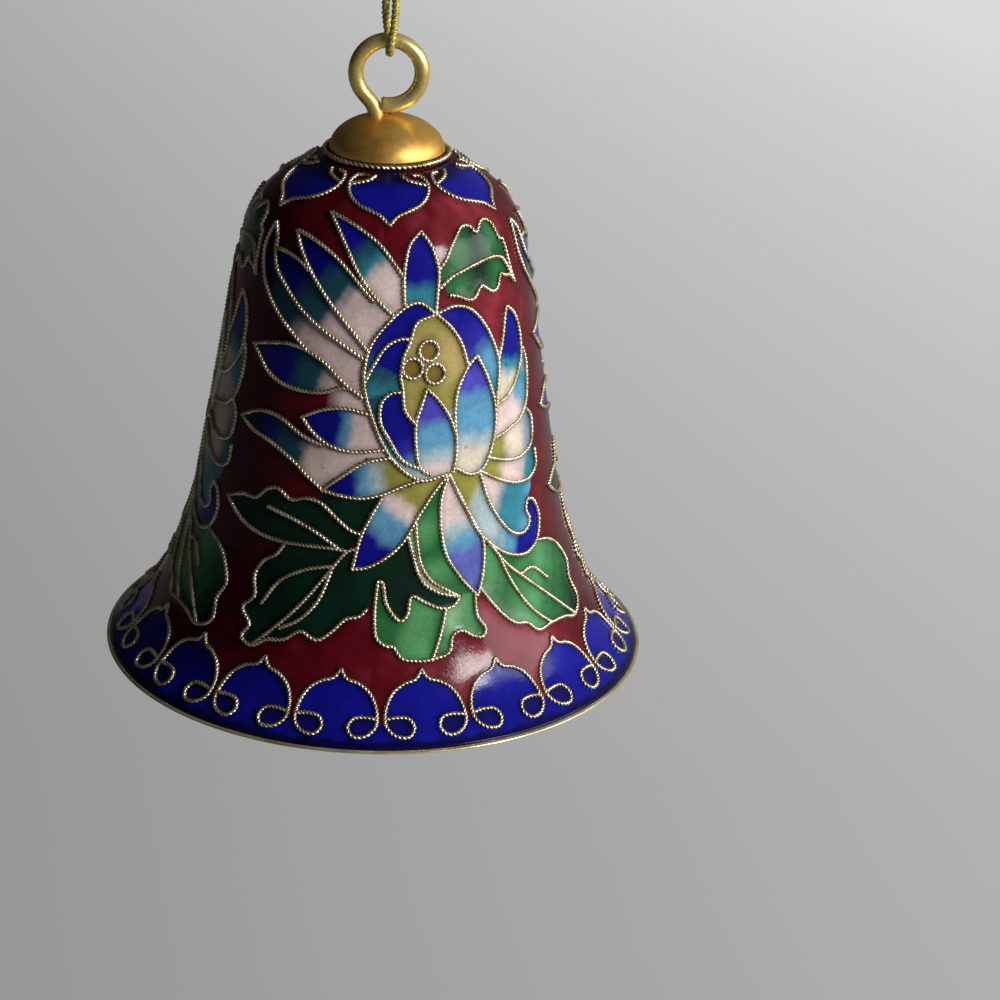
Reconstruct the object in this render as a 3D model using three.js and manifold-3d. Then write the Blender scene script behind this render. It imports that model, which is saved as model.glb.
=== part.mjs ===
// Cloisonne bell ornament: an enamelled copper bell with soldered wirework, a gilt cap and hanging eye,
// a clapper chained inside it, and the thread that it hangs from.
// Millimetres, +Z up. In the bell group, heights are above the rim and angles go round from the front (-Y).
import * as THREE from 'three';
import { mergeVertices } from 'three/addons/utils/BufferGeometryUtils.js';
import Module from 'manifold-3d';

const wasm = await Module();
wasm.setup();

// Bell wall
const RIM_RADIUS = 26;
const FLARE_RADIUS = 20.6;
const FLARE_HEIGHT = 6.4;
const WAIST_RADIUS = 17.3;
const WAIST_HEIGHT = 16;
const SHOULDER_RADIUS = 13.4;
const SHOULDER_HEIGHT = 39;
const CROWN_RADIUS = 5.6;
const CROWN_HEIGHT = 48.3;
const CROWN_RISE = 0.6;
const FLARE_SWELL = 2.2;
const WAIST_HOLLOW = 0.3;
const SHOULDER_SWELL = 1.4;
const SHOULDER_LIFT = 0.6;
const CROWN_EDGE = 1;
const CROWN_HOLLOW = 0.2;
const RIM_RING_HEIGHT = 0.3;
const RIM_RING_WIDTH = 3.1;
const RIM_LIP = 0.12;
const GROUND_ENAMEL = 0.5;
const COPPER_WALL = 0.7;
const COUNTER_ENAMEL = 0.3;
const FIRED_GAP = 0.06;
const WALL_SAG = 0.07;

// Wirework on the enamel
const WIRE_WIDTH = 0.5;
const WIRE_HEIGHT = 0.35;
const WIRE_LIFT = 0.22;
const WIRE_CLEARANCE = 0.15;
const WIRE_STEP = 4;
const WIRE_BEND = 0.8;
// The flowers are laid by hand and stand a little unevenly, in degrees
const FLOWER_TURNS = [0, 124, 241.5];
const RIM_LAPPET_COUNT = 18;
const RIM_LAPPET_ANGLE = 12;
const CROWN_LAPPET_COUNT = 6;
const SEED_RING_RADIUS = 0.9;
const SEED_POINTS = 8;
// One step of the pattern's heights, as a share of the crown's height
const PATTERN_SHARE = 0.0207;
const CROWN_LAPPET_ANGLE = 2;

// Cap and hanging eye
const CAP_RADIUS = 5.3;
const CAP_RISE = 3.2;
const CAP_WALL = 0.5;
const CAP_SEAT = 0.45;
const EYE_WIRE = 1.4;
const EYE_RADIUS = 3;
const SHANK_OFFSET = 1.1;
const SHANK_CLEARANCE = 0.2;
const INNER_EYE_RADIUS = 2;
const INNER_EYE_DROP = 5.2;
// Where each eye's bend starts and how far it goes round, in degrees
const EYE_ANGLE = 260;
const EYE_SWEEP = 320;
const INNER_EYE_ANGLE = 52;
const INNER_EYE_SWEEP = 272;
const WASHER_RADIUS = 2.6;
const WASHER_THICKNESS = 0.5;

// Clapper
const LINK_WIRE = 0.9;
const LINK_RADIUS = 2;
const PIN_WIRE = 1;
const PIN_EYE_RADIUS = 1.3;
const PIN_EYE_ANGLE = -38;
const PIN_EYE_SWEEP = 270;
const CHAIN_CLEARANCE = 0.15;
const BALL_RADIUS = 4.5;
const BALL_HEIGHT = 12;
const BORE_CLEARANCE = 0.1;
const PIN_HEAD_RADIUS = 1.3;
const PIN_HEAD_THICKNESS = 0.6;

// Hanging thread
const THREAD = 0.78;
const THREAD_CLEARANCE = 0.3;
const THREAD_SPREAD = 0.45;
const FOLD_LENGTH = 8;
const HOOK_LENGTH = 8;
const HOOK_SPREAD = 1.3;
const KNOT_DROP = 1.6;
const HANG_HEIGHT = 80;
const KNOT_RADIUS = 1.3;
const KNOT_HEIGHT = 2.8;
const TOUCH_GAP = 0.3;

const TURN_SEGMENTS = 32;
const CAP_SEGMENTS = 20;
const SMALL_SEGMENTS = 16;
const SAMPLES_PER_POINT = 8;

const finishes = {
  gilt: { color: 0xc9952e, roughness: 0.3, metalness: 1 },
  wire: { color: 0xd9bf8a, roughness: 0.35, metalness: 1 },
  copper: { color: 0xa8623c, roughness: 0.45, metalness: 1 },
  ground: { color: 0x6e1224, roughness: 0.15, metalness: 0 },
  lining: { color: 0x1c3fa0, roughness: 0.2, metalness: 0 },
  brass: { color: 0xb89148, roughness: 0.35, metalness: 1 },
  thread: { color: 0xc2a83e, roughness: 0.5, metalness: 0.6 },
};

function piece(name, geometry, finish) {
  const mesh = new THREE.Mesh(geometry, new THREE.MeshStandardMaterial(finishes[finish]));
  mesh.name = name;
  return mesh;
}

// Turns a mesh's faces outward and merges its shared corners.
function closed(geometry) {
  const bare = geometry.index ? geometry.clone() : geometry;
  bare.deleteAttribute('normal');
  bare.deleteAttribute('uv');
  const merged = mergeVertices(bare, 1e-4);
  const position = merged.attributes.position;
  const index = merged.index.array;
  const corner = [new THREE.Vector3(), new THREE.Vector3(), new THREE.Vector3()];
  const kept = [];
  let volume = 0;
  for (let i = 0; i < index.length; i += 3) {
    const [a, b, c] = [index[i], index[i + 1], index[i + 2]];
    if (a === b || b === c || a === c) continue;
    kept.push(a, b, c);
    [a, b, c].forEach((vertex, k) => corner[k].fromBufferAttribute(position, vertex));
    volume += corner[0].dot(corner[1].cross(corner[2]));
  }
  if (volume < 0) {
    for (let i = 0; i < kept.length; i += 3) {
      [kept[i], kept[i + 1]] = [kept[i + 1], kept[i]];
    }
  }
  merged.setIndex(kept);
  merged.computeVertexNormals();
  return merged;
}

function solid(geometry) {
  const mesh = closed(geometry);
  return new wasm.Manifold(new wasm.Mesh({
    numProp: 3,
    vertProperties: new Float32Array(mesh.attributes.position.array),
    triVerts: new Uint32Array(mesh.index.array),
  }));
}

function geometryOf(manifold) {
  const mesh = manifold.getMesh();
  const geometry = new THREE.BufferGeometry();
  geometry.setAttribute('position', new THREE.BufferAttribute(new Float32Array(mesh.vertProperties), 3));
  geometry.setIndex(Array.from(mesh.triVerts));
  geometry.computeVertexNormals();
  return geometry;
}

function joined(geometries) {
  return geometries.map(solid).reduce((whole, next) => whole.add(next));
}

// A closed profile of [radius, height] turned round the bell's axis.
function turned(profile, segments = TURN_SEGMENTS) {
  const points = profile.map(([radius, height]) => new THREE.Vector2(radius, height));
  points.push(points[0].clone());
  return closed(new THREE.LatheGeometry(points, segments).rotateX(Math.PI / 2));
}

// A round wire of a given diameter along a path.
function roundWire(points, diameter, steps, sides = 8) {
  const section = new THREE.Shape();
  for (let i = 0; i < sides; i += 1) {
    const angle = (2 * Math.PI * i) / sides;
    const place = [Math.cos(angle) * diameter / 2, Math.sin(angle) * diameter / 2];
    if (i === 0) section.moveTo(...place);
    else section.lineTo(...place);
  }
  section.closePath();
  const path = new THREE.CatmullRomCurve3(points, false, 'centripetal');
  return closed(new THREE.ExtrudeGeometry(section, { steps, extrudePath: path, bevelEnabled: false }));
}

// Points of an arc in the XZ plane; angles in degrees from +X towards +Z.
function arc(centreX, centreZ, radius, from, to, count) {
  return Array.from({ length: count + 1 }, (unused, i) => {
    const angle = THREE.MathUtils.degToRad(from + ((to - from) * i) / count);
    return new THREE.Vector3(centreX + radius * Math.cos(angle), 0, centreZ + radius * Math.sin(angle));
  });
}

// Bell outline: the outer face of the enamel, from the rim up to the crown.
const outline = new THREE.SplineCurve([
  [RIM_RADIUS, 0],
  [FLARE_RADIUS + FLARE_SWELL, FLARE_HEIGHT * 0.46],
  [FLARE_RADIUS, FLARE_HEIGHT],
  [(FLARE_RADIUS + WAIST_RADIUS) / 2 - WAIST_HOLLOW, (FLARE_HEIGHT + WAIST_HEIGHT) / 2],
  [WAIST_RADIUS, WAIST_HEIGHT],
  [(WAIST_RADIUS + SHOULDER_RADIUS) / 2, (WAIST_HEIGHT + SHOULDER_HEIGHT) / 2],
  [SHOULDER_RADIUS, SHOULDER_HEIGHT],
  [
    SHOULDER_RADIUS * 0.58 + CROWN_RADIUS * 0.42 + SHOULDER_SWELL,
    (SHOULDER_HEIGHT + CROWN_HEIGHT) / 2 + SHOULDER_LIFT,
  ],
  [SHOULDER_RADIUS * 0.3 + CROWN_RADIUS * 0.7 - CROWN_HOLLOW, CROWN_HEIGHT - CROWN_EDGE],
  [CROWN_RADIUS, CROWN_HEIGHT],
].map(([radius, height]) => new THREE.Vector2(radius, height)));
const outlineTable = outline.getPoints(400);
const wallFoot = RIM_RING_HEIGHT + FIRED_GAP;

// Radius and outward normal of the enamel's face at a height.
function wallAt(height) {
  let row = outlineTable.findIndex((point) => point.y > height) - 1;
  if (row < 0) row = height <= outlineTable[0].y ? 0 : outlineTable.length - 2;
  const low = outlineTable[row];
  const high = outlineTable[row + 1];
  const along = high.clone().sub(low);
  const share = THREE.MathUtils.clamp((height - low.y) / along.y, 0, 1);
  along.normalize();
  return { radius: THREE.MathUtils.lerp(low.x, high.x, share), out: along.y, up: -along.x };
}

// Indexes of the points to keep as rows along a line, by how far it has gone and bent since the last row.
function keptRows(points, enough) {
  const kept = [0];
  let heading = points[1].clone().sub(points[0]);
  let bend = 0;
  for (let i = 1; i < points.length; i += 1) {
    const next = points[i].clone().sub(points[i - 1]);
    bend += heading.angleTo(next);
    heading = next;
    const reach = points[i].distanceTo(points[kept.at(-1)]);
    if (i === points.length - 1 || enough(reach, bend)) {
      kept.push(i);
      bend = 0;
    }
  }
  return kept;
}

// The outline set in from the enamel's face by a depth, from the rim ring up to the crown's hole.
const wallPoints = outlineTable.filter((point) => point.y >= wallFoot);
const wallRows = keptRows(wallPoints, (reach, bend) => reach * bend > 8 * WALL_SAG);

function wallLine(depth) {
  const line = wallRows.map((row) => {
    const wall = wallAt(wallPoints[row].y);
    return [wall.radius - wall.out * depth, wallPoints[row].y - wall.up * depth];
  });
  const foot = wallAt(wallFoot);
  line[0] = [foot.radius - depth / foot.out, wallFoot];
  line.push([EYE_WIRE / 2 + SHANK_CLEARANCE, CROWN_HEIGHT + CROWN_RISE - depth]);
  return line;
}

function layer(outerDepth, innerDepth) {
  return turned([...wallLine(outerDepth), ...wallLine(innerDepth).reverse()]);
}

const copperDepth = GROUND_ENAMEL + FIRED_GAP;
const liningDepth = copperDepth + COPPER_WALL + FIRED_GAP;
const wallDepth = liningDepth + COUNTER_ENAMEL;

// Rim ring: a gilt band under the wall's three layers, whose lip follows the flare.
function rimRing() {
  const inner = RIM_RADIUS - RIM_RING_WIDTH;
  const round = RIM_RING_HEIGHT * 0.4;
  return turned([
    [inner, 0],
    [RIM_RADIUS - round, 0],
    [RIM_RADIUS, round],
    [wallAt(RIM_RING_HEIGHT).radius + RIM_LIP, RIM_RING_HEIGHT],
    [inner, RIM_RING_HEIGHT],
  ]);
}

// Heights of the pattern follow the crown's height.
function patternHeight(height) {
  return height * PATTERN_SHARE * CROWN_HEIGHT;
}

// A wire laid on the enamel through points of [degrees, height], with a flat foot and a sharp crest.
// Its rows lie closer together where it bends.
function laidWire(points, grow = 0) {
  const drawn = points.map(([turn, height]) => new THREE.Vector3(turn, patternHeight(height), 0));
  const ring = points[0][0] === points.at(-1)[0] && points[0][1] === points.at(-1)[1];
  if (ring) drawn.pop();
  const path = new THREE.CatmullRomCurve3(drawn, ring, 'centripetal');
  const place = (share) => {
    const flat = path.getPoint(share);
    const wall = wallAt(flat.y);
    const turn = THREE.MathUtils.degToRad(flat.x);
    const normal = new THREE.Vector3(wall.out * Math.sin(turn), -wall.out * Math.cos(turn), wall.up);
    const foot = new THREE.Vector3(wall.radius * Math.sin(turn), -wall.radius * Math.cos(turn), flat.y);
    return { normal, foot };
  };
  const samples = [];
  const fine = SAMPLES_PER_POINT * drawn.length;
  for (let i = 0; i <= fine; i += 1) samples.push(place(i / fine));
  const feet = samples.map((sample) => sample.foot);
  const kept = keptRows(feet, (reach, bend) => bend > WIRE_BEND || reach > WIRE_STEP);
  const rows = kept.map((row) => samples[row]);
  if (ring) rows.pop();
  const half = WIRE_WIDTH / 2 + grow;
  const foot = WIRE_LIFT - 2 * grow;
  const crest = WIRE_LIFT + WIRE_HEIGHT + 2 * grow;
  const section = [[-half, foot], [half, foot], [0, crest]];
  if (grow > 0) section.splice(2, 1, [half, crest], [-half, crest]);
  const sides = section.length;
  const vertices = [];
  rows.forEach((row, i) => {
    const before = rows[ring ? (i + rows.length - 1) % rows.length : Math.max(0, i - 1)].foot;
    const after = rows[ring ? (i + 1) % rows.length : Math.min(rows.length - 1, i + 1)].foot;
    const across = row.normal.clone().cross(after.clone().sub(before)).normalize();
    for (const [side, lift] of section) {
      vertices.push(row.foot.clone().addScaledVector(across, side).addScaledVector(row.normal, lift));
    }
  });
  const faces = [];
  const loops = ring ? rows.length : rows.length - 1;
  for (let i = 0; i < loops; i += 1) {
    const near = i * sides;
    const far = ((i + 1) % rows.length) * sides;
    for (let k = 0; k < sides; k += 1) {
      const next = (k + 1) % sides;
      faces.push(near + k, near + next, far + next, near + k, far + next, far + k);
    }
  }
  const last = (rows.length - 1) * sides;
  for (let k = 2; k < sides && !ring; k += 1) {
    faces.push(0, k, k - 1, last, last + k - 1, last + k);
  }
  const geometry = new THREE.BufferGeometry().setFromPoints(vertices);
  geometry.setIndex(faces);
  return closed(geometry);
}

function turnedPoints(points, turn) {
  return points.map(([angle, height]) => [angle + turn, height]);
}

function mirrored(points) {
  return points.map(([angle, height]) => [-angle, height]);
}

// Rim lappets: a pointed arch whose two ends curl into closed loops beside the rim.
const RIM_LAPPET_ARCH = [
  [0, 5.9], [-1.4, 5.2], [-4.6, 4.8], [-7.3, 4.1], [-8.7, 3.2], [-9.1, 2.5], [-9, 1.9], [-7.8, 1.35],
  [-5.7, 1.05],
];
const RIM_LAPPET_LOOP = [[-5.7, 1.05], [-3.7, 1.15], [-2.8, 1.65], [-3.5, 2.15], [-5.8, 2.35], [-8.8, 2.25]];

// Crown lappets: a rounded shield under the cap, with a small scroll in each top corner.
const CROWN_LAPPET_SIDE = [
  [0, 44.8], [-3.8, 45.4], [-9.5, 45.75], [-16.5, 46.1], [-22.5, 46.6], [-26.3, 47.15], [-27.2, 47.5],
  [-25.2, 47.85], [-19, 47.95],
];
const CROWN_LAPPET_SCROLL = [[-26.8, 47.3], [-20, 47.5], [-14, 47.7], [-10, 47.95]];

// One lappet from the lines of its left half, at a turn.
function lappet(halves, turn) {
  const lines = halves.flatMap((half) => [half, mirrored(half)]);
  return geometryOf(joined(lines.map((line) => laidWire(turnedPoints(line, turn)))));
}

// Lotus: the corolla round the seed pod, then the outer petals from the top round to the left and below.
// Each petal is two wires that meet at its tip.
const LOTUS_WIRES = [
  // corolla and seed pod
  [[20, 37.4], [13, 38.5], [3, 37], [-5, 34], [-6, 31.5], [-3, 28.5], [3, 25], [13, 22.6], [23, 22.9]],
  [
    [20, 37.4], [28, 37.9], [36, 37.1], [43, 34.6], [46, 32], [44, 29], [41, 25.4], [36, 22.9], [31, 22.5],
    [25, 23.4],
  ],
  [[20, 37.4], [12, 36.5], [10.2, 35.1], [7.8, 33.7], [6.8, 32.1], [7.6, 30.7], [8, 29.2], [12, 27.6]],
  [[20, 37.4], [26, 36], [30, 34.3], [32, 32.4]],
  [[10.4, 35.3], [6, 35.3], [1, 34.5], [-3, 32.8], [-6, 31.2]],
  [[7.6, 30.6], [3, 30.4], [0, 29.3], [0, 28], [3, 26.4], [7, 24.6], [13, 23.6]],
  // the two front petals
  [[16, 30.8], [14, 29.3], [12, 27.6], [12, 25.7], [13, 23.9], [17, 22.9]],
  [[16, 30.8], [20, 29.7], [24, 28], [26.4, 26]],
  [[36, 33.2], [31, 32], [27, 30], [26, 28.3], [26, 25], [24.5, 23]],
  [[36, 33.2], [40, 31], [42.5, 28.6], [42.5, 26.8]],
  // upper petals
  [[16, 44.4], [10, 43.1], [8, 41], [8, 38.3]],
  [[16, 44.4], [20, 43.1], [22, 41.2], [21, 39.3], [20, 37.5]],
  [[-27, 45.4], [-21, 44.4], [-15, 42.8], [-10, 41], [-4, 39.2], [4, 37.4]],
  [[-27, 45.4], [-18, 45], [-9, 44.3], [-1, 43.2], [5, 41.6], [8, 40.6]],
  [[-40, 43.6], [-36, 42.4], [-30, 40.7], [-23, 38.9], [-17, 37.4], [-11, 35.9], [-5, 34.2]],
  [[-40, 43.6], [-32, 43.3], [-21, 42.3], [-14, 41.1], [-8, 39.7], [-3, 38.5]],
  [[-49, 41.7], [-41, 41.6], [-34, 41.1], [-30, 40.5]],
  [[-49, 41.7], [-47, 40.4], [-40, 38.8], [-32, 37.2], [-23, 35.8], [-14, 34.6], [-5, 33.3]],
  [[-54, 43.7], [-51, 43], [-49.5, 42.4], [-49, 41.5]],
  [[-54, 43.7], [-56, 41.5], [-53, 39.3], [-48, 37.7], [-42, 36.3], [-35, 35], [-27, 33.5]],
  // left petals
  [[-52, 32.8], [-42, 33.5], [-35, 33.8], [-28, 33.6], [-20, 32.7], [-13, 31.2], [-6, 30]],
  [[-52, 32.8], [-48, 31.9], [-43, 30.8], [-36, 30.1], [-28, 29.9], [-20, 30.1], [-14, 30.7], [-11, 30.7]],
  [[-27, 27.6], [-19, 28.6], [-11, 28.9], [-3, 28.5]],
  [[-27, 27.6], [-23, 26.5], [-17, 25.5], [-9, 25.1], [2, 25.4]],
  [[-53, 26], [-44, 27.1], [-35, 27], [-26, 25.9], [-18, 25.3]],
  [[-53, 26], [-47, 25.2], [-38, 24.6], [-29, 23.5], [-23, 22.3], [-18, 21.4]],
  [[-18, 21.3], [-11, 22.9], [-5, 24.1], [4, 24.7]],
  [[-18, 21.3], [-12, 21], [-5, 20.9], [1, 21.3], [8, 22.1], [14, 22.6]],
  // lower petals
  [[-7, 14.4], [-6, 16], [-5, 17.3], [-2.5, 19], [1.5, 21.2]],
  [[-7, 14.4], [-3, 14.6], [3, 15.6], [8, 17], [13, 19.4], [18, 21.4], [23, 22.9]],
  [[30, 11.4], [25, 13.4], [21, 15.7], [19.8, 18], [20, 20.4], [23, 22.9]],
  [[30, 11.4], [33, 13.5], [34, 15.9], [32, 17.5], [28, 19.7], [23, 22.9]],
  [
    [23, 22.9], [28, 19.9], [32, 17.3], [38, 15.3], [45, 14], [52, 13.7], [58, 14.7], [60, 16.4], [58, 18],
    [54.5, 18.5],
  ],
  [[54.5, 18.5], [53.2, 17.6], [54.5, 16.6], [52, 15.7], [46, 16], [41, 17.6], [37, 19.8], [34, 22.8]],
  // right petals
  [[34.5, 22.6], [43, 21.2], [51, 20.4], [58, 20.4], [62, 21.4], [62, 22.8]],
  [[37.5, 23.7], [46, 22.9], [54, 22.7], [61, 23.8], [62, 25.6], [59, 26.8]],
  [[41, 25.2], [49, 25.7], [55, 26.2], [60, 27.6], [62, 29.4]],
  [[53, 36.8], [51, 35.6], [49, 34], [46, 32.2]],
  [[53, 36.8], [58, 35.6], [60, 33.8], [59.5, 32], [56, 30.3], [50, 28.8], [43.5, 28.2]],
  [[62, 29.4], [62.5, 31], [61, 32.3], [59.3, 32.6]],
];

// Three rings of wire for the seeds, which touch each other and the pod's edge.
const SEED_CENTRES = [[16.9, 34.2], [10.9, 32.7], [19, 32.1]];

function seedRing([turn, height]) {
  const wide = THREE.MathUtils.radToDeg(SEED_RING_RADIUS / wallAt(patternHeight(height)).radius);
  return Array.from({ length: SEED_POINTS + 1 }, (unused, i) => {
    const angle = (2 * Math.PI * (i % SEED_POINTS)) / SEED_POINTS;
    return [turn + wide * Math.cos(angle), height + SEED_RING_RADIUS * Math.sin(angle)];
  });
}

// Leaves behind the lotus; their wires stop against the petals.
const LEAF_WIRES = {
  upper_leaf: [
    [
      [21.4, 41], [25.6, 42], [28.4, 42.9], [32, 43.7], [35.4, 44.3], [38, 44.4], [41, 44.2], [42.6, 43.7],
      [44.5, 43.9], [46.7, 44.3], [49.8, 44.5], [52.6, 44.3], [54.5, 43.8], [55.2, 42.8], [57.5, 42.5],
      [58.3, 41.3], [59.2, 39.6], [60.6, 38.6],
    ],
    [
      [60.6, 38.6], [57.6, 39.3], [54, 39.5], [52.2, 39.8], [50.6, 39.3], [49.6, 38.8], [47.8, 38.5],
      [45.6, 38.5], [43, 38.9], [40.9, 39.2], [39, 38.9], [37.3, 38.4], [35, 38.2], [32.3, 38.4],
      [29.4, 38.7], [25.9, 38.9],
    ],
    [[21, 39.4], [27, 40.4], [33.7, 40.9], [42, 41.3], [47.5, 41.4], [51.5, 41.3], [55, 40.9], [60.6, 38.6]],
  ],
  left_leaves: [
    [
      [-54, 18.2], [-47, 19], [-41, 19.2], [-37, 20.3], [-33, 20.6], [-28, 19.9], [-23, 20.3], [-18, 20.1],
      [-13, 19], [-8, 17.9], [-4.5, 17.6],
    ],
    [[-54, 18.2], [-48, 17], [-41, 16.2], [-32, 15.9], [-22, 16], [-14, 16.1], [-9, 16]],
    [[-36, 18.7], [-27, 18.2], [-19, 17.4], [-11, 16.1]],
    [
      [-28, 16], [-31, 14.6], [-35, 13.7], [-37, 12.3], [-35.5, 10.6], [-38.5, 9.3], [-35, 8], [-36.5, 7],
      [-33, 6.4], [-29, 7.2], [-24, 7.6], [-20, 8.5], [-15, 8], [-11, 9], [-8, 10], [-4, 10.4], [-2, 11.1],
    ],
    [[-5.8, 16.3], [-9, 15.9], [-13, 14.3], [-22, 10.4], [-33, 6.4]],
    [[-12, 14.6], [-22, 13.7], [-29, 12.2], [-33, 10]],
    [[-13, 14.2], [-16, 11.4], [-21, 9.4], [-26, 8.4]],
  ],
  bottom_leaf: [
    [[0.6, 13.4], [0, 11.5], [0, 9.6], [0.4, 8.7], [3, 7.9], [5, 7.8], [7, 6.9], [11, 6.6], [15, 6.6]],
    [
      [0.6, 13.4], [2, 13.3], [3, 11.6], [7, 10], [9, 10.6], [10, 12], [14, 11.5], [18, 10.9], [22, 10.9],
      [24.5, 11.6],
    ],
    [[9.5, 17.4], [11, 15.5], [13, 13.6], [17, 12.4], [24.5, 11.6]],
    [[11.8, 18.6], [12.2, 16.8], [13.2, 14.9], [16, 13.4], [20, 12.5], [24.5, 11.6]],
    [[15, 6.6], [17.5, 8.4], [19, 9.8], [20, 10.9]],
    [[15, 6.6], [20, 7.2], [21, 8.3], [24, 8.7], [27, 8.1], [30, 7.9], [31, 8.5], [29, 9.8], [29.3, 11.8]],
  ],
  right_leaf: [
    [
      [56.5, 14.3], [64, 13.6], [69, 12.4], [72, 10.6], [70, 9], [71, 7.4], [66, 6.2], [60, 6.7], [54, 6.9],
      [48, 6.9], [45, 7.8], [41, 8.2], [38, 9], [35, 10.2], [31.3, 12],
    ],
    [[35.5, 16.1], [41, 13.7], [48, 11.6], [57, 9], [66, 6.2]],
    [[39, 14.6], [43, 11.4], [48, 8.8], [54, 6.9]],
    [[46.5, 12.1], [52, 12.2], [58, 10.6]],
  ],
};

function lotusSolid(turn, grow) {
  const wires = [...LOTUS_WIRES, ...SEED_CENTRES.map(seedRing)];
  return joined(wires.map((wire) => laidWire(turnedPoints(wire, turn), grow)));
}

const bell = new THREE.Group();
bell.add(piece('bell_shell', layer(copperDepth, copperDepth + COPPER_WALL), 'copper'));
bell.add(piece('ground_enamel', layer(0, GROUND_ENAMEL), 'ground'));
bell.add(piece('counter_enamel', layer(liningDepth, wallDepth), 'lining'));
bell.add(piece('rim_ring', rimRing(), 'gilt'));

for (let i = 0; i < RIM_LAPPET_COUNT; i += 1) {
  const turn = RIM_LAPPET_ANGLE + (360 * i) / RIM_LAPPET_COUNT;
  const name = `rim_lappet_wire_${String(i + 1).padStart(2, '0')}`;
  bell.add(piece(name, lappet([RIM_LAPPET_ARCH, RIM_LAPPET_LOOP], turn), 'wire'));
}
for (let i = 0; i < CROWN_LAPPET_COUNT; i += 1) {
  const turn = CROWN_LAPPET_ANGLE + (360 * i) / CROWN_LAPPET_COUNT;
  const shield = lappet([CROWN_LAPPET_SIDE, CROWN_LAPPET_SCROLL], turn);
  bell.add(piece(`crown_lappet_wire_${i + 1}`, shield, 'wire'));
}
const petals = FLOWER_TURNS
  .map((turn) => lotusSolid(turn, WIRE_CLEARANCE))
  .reduce((all, one) => all.add(one));
FLOWER_TURNS.forEach((turn, i) => {
  bell.add(piece(`lotus_wires_${i + 1}`, geometryOf(lotusSolid(turn, 0)), 'wire'));
  for (const [name, wires] of Object.entries(LEAF_WIRES)) {
    const leaf = joined(wires.map((wire) => laidWire(turnedPoints(wire, turn))));
    bell.add(piece(`${name}_wires_${i + 1}`, geometryOf(leaf.subtract(petals)), 'wire'));
  }
});

// Cap: a hollow dome that sits on the crown, with a hole for the eye's shank.
const capBase = CROWN_HEIGHT + CAP_SEAT;

function capDome() {
  const dome = (radius, rise, count) => Array.from({ length: count + 1 }, (unused, i) => {
    const angle = (Math.PI / 2) * (i / count);
    return [radius * Math.cos(angle), capBase + rise * Math.sin(angle)];
  });
  const inner = dome(CAP_RADIUS - CAP_WALL, CAP_RISE - CAP_WALL, 4).reverse();
  const shell = turned([...dome(CAP_RADIUS, CAP_RISE, 6), ...inner], CAP_SEGMENTS);
  const hole = new THREE.CylinderGeometry(
    EYE_WIRE / 2 + SHANK_CLEARANCE, EYE_WIRE / 2 + SHANK_CLEARANCE, CAP_RISE, 12,
  ).rotateX(Math.PI / 2);
  hole.translate(-SHANK_OFFSET, 0, capBase + CAP_RISE);
  return geometryOf(solid(shell).subtract(solid(hole)));
}
bell.add(piece('cap', capDome(), 'gilt'));

// Crown ring: one turn of wire close round the foot of the cap.
const crownRingRadius = CAP_RADIUS + WIRE_WIDTH / 2 + WIRE_CLEARANCE;
const crownRing = new THREE.TorusGeometry(crownRingRadius, WIRE_WIDTH / 2, 4, TURN_SEGMENTS);
crownRing.translate(0, 0, CROWN_HEIGHT + WIRE_WIDTH / 2 + FIRED_GAP);
bell.add(piece('crown_ring_wire', closed(crownRing), 'wire'));

// Hanging eye: one wire bent into the ring above the cap, then down through cap and crown into an inner eye.
const eyeHeight = capBase + CAP_RISE + TOUCH_GAP / 2 + EYE_WIRE / 2 + EYE_RADIUS;
const innerEyeHeight = CROWN_HEIGHT - INNER_EYE_DROP;
const crownTop = CROWN_HEIGHT + CROWN_RISE;
const place = (x, z) => new THREE.Vector3(x, 0, z);
const capTop = capBase + CAP_RISE;
const hangerPath = [
  ...arc(0, eyeHeight, EYE_RADIUS, EYE_ANGLE, EYE_ANGLE + EYE_SWEEP, 20),
  place(-SHANK_OFFSET - EYE_WIRE / 4, eyeHeight - EYE_RADIUS),
  place(-SHANK_OFFSET, capTop),
  place(-SHANK_OFFSET, capTop - CAP_WALL),
  place(-SHANK_OFFSET / 2, (capTop - CAP_WALL + crownTop) / 2),
  place(0, crownTop),
  place(0, crownTop - wallDepth - WASHER_THICKNESS - FIRED_GAP),
  ...arc(0, innerEyeHeight, INNER_EYE_RADIUS, INNER_EYE_ANGLE, INNER_EYE_ANGLE - INNER_EYE_SWEEP, 14),
];
bell.add(piece('hanger_eye', roundWire(hangerPath, EYE_WIRE, 44, 7), 'gilt'));

// Washer between the crown and the inner eye.
const washerHole = EYE_WIRE / 2 + SHANK_CLEARANCE;
const [[ceilingRadius, ceilingFoot], [, ceilingTop]] = wallLine(wallDepth).slice(-2);
const ceilingShare = (WASHER_RADIUS - washerHole) / (ceilingRadius - washerHole);
const washerTop = THREE.MathUtils.lerp(ceilingTop, ceilingFoot, ceilingShare) - FIRED_GAP;
bell.add(piece('stem_washer', turned([
  [washerHole, washerTop - WASHER_THICKNESS],
  [WASHER_RADIUS, washerTop - WASHER_THICKNESS],
  [WASHER_RADIUS, washerTop],
  [washerHole, washerTop],
], SMALL_SEGMENTS), 'brass'));

// Clapper: a link through the inner eye, and a pin with an eye that carries the ball.
const innerEyeFoot = innerEyeHeight - INNER_EYE_RADIUS;
const linkHeight = innerEyeFoot + EYE_WIRE / 2 + LINK_WIRE / 2 + CHAIN_CLEARANCE - LINK_RADIUS;
const link = new THREE.TorusGeometry(LINK_RADIUS, LINK_WIRE / 2, 6, 18).rotateY(Math.PI / 2);
link.translate(0, 0, linkHeight);
bell.add(piece('clapper_link', closed(link), 'brass'));

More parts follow.
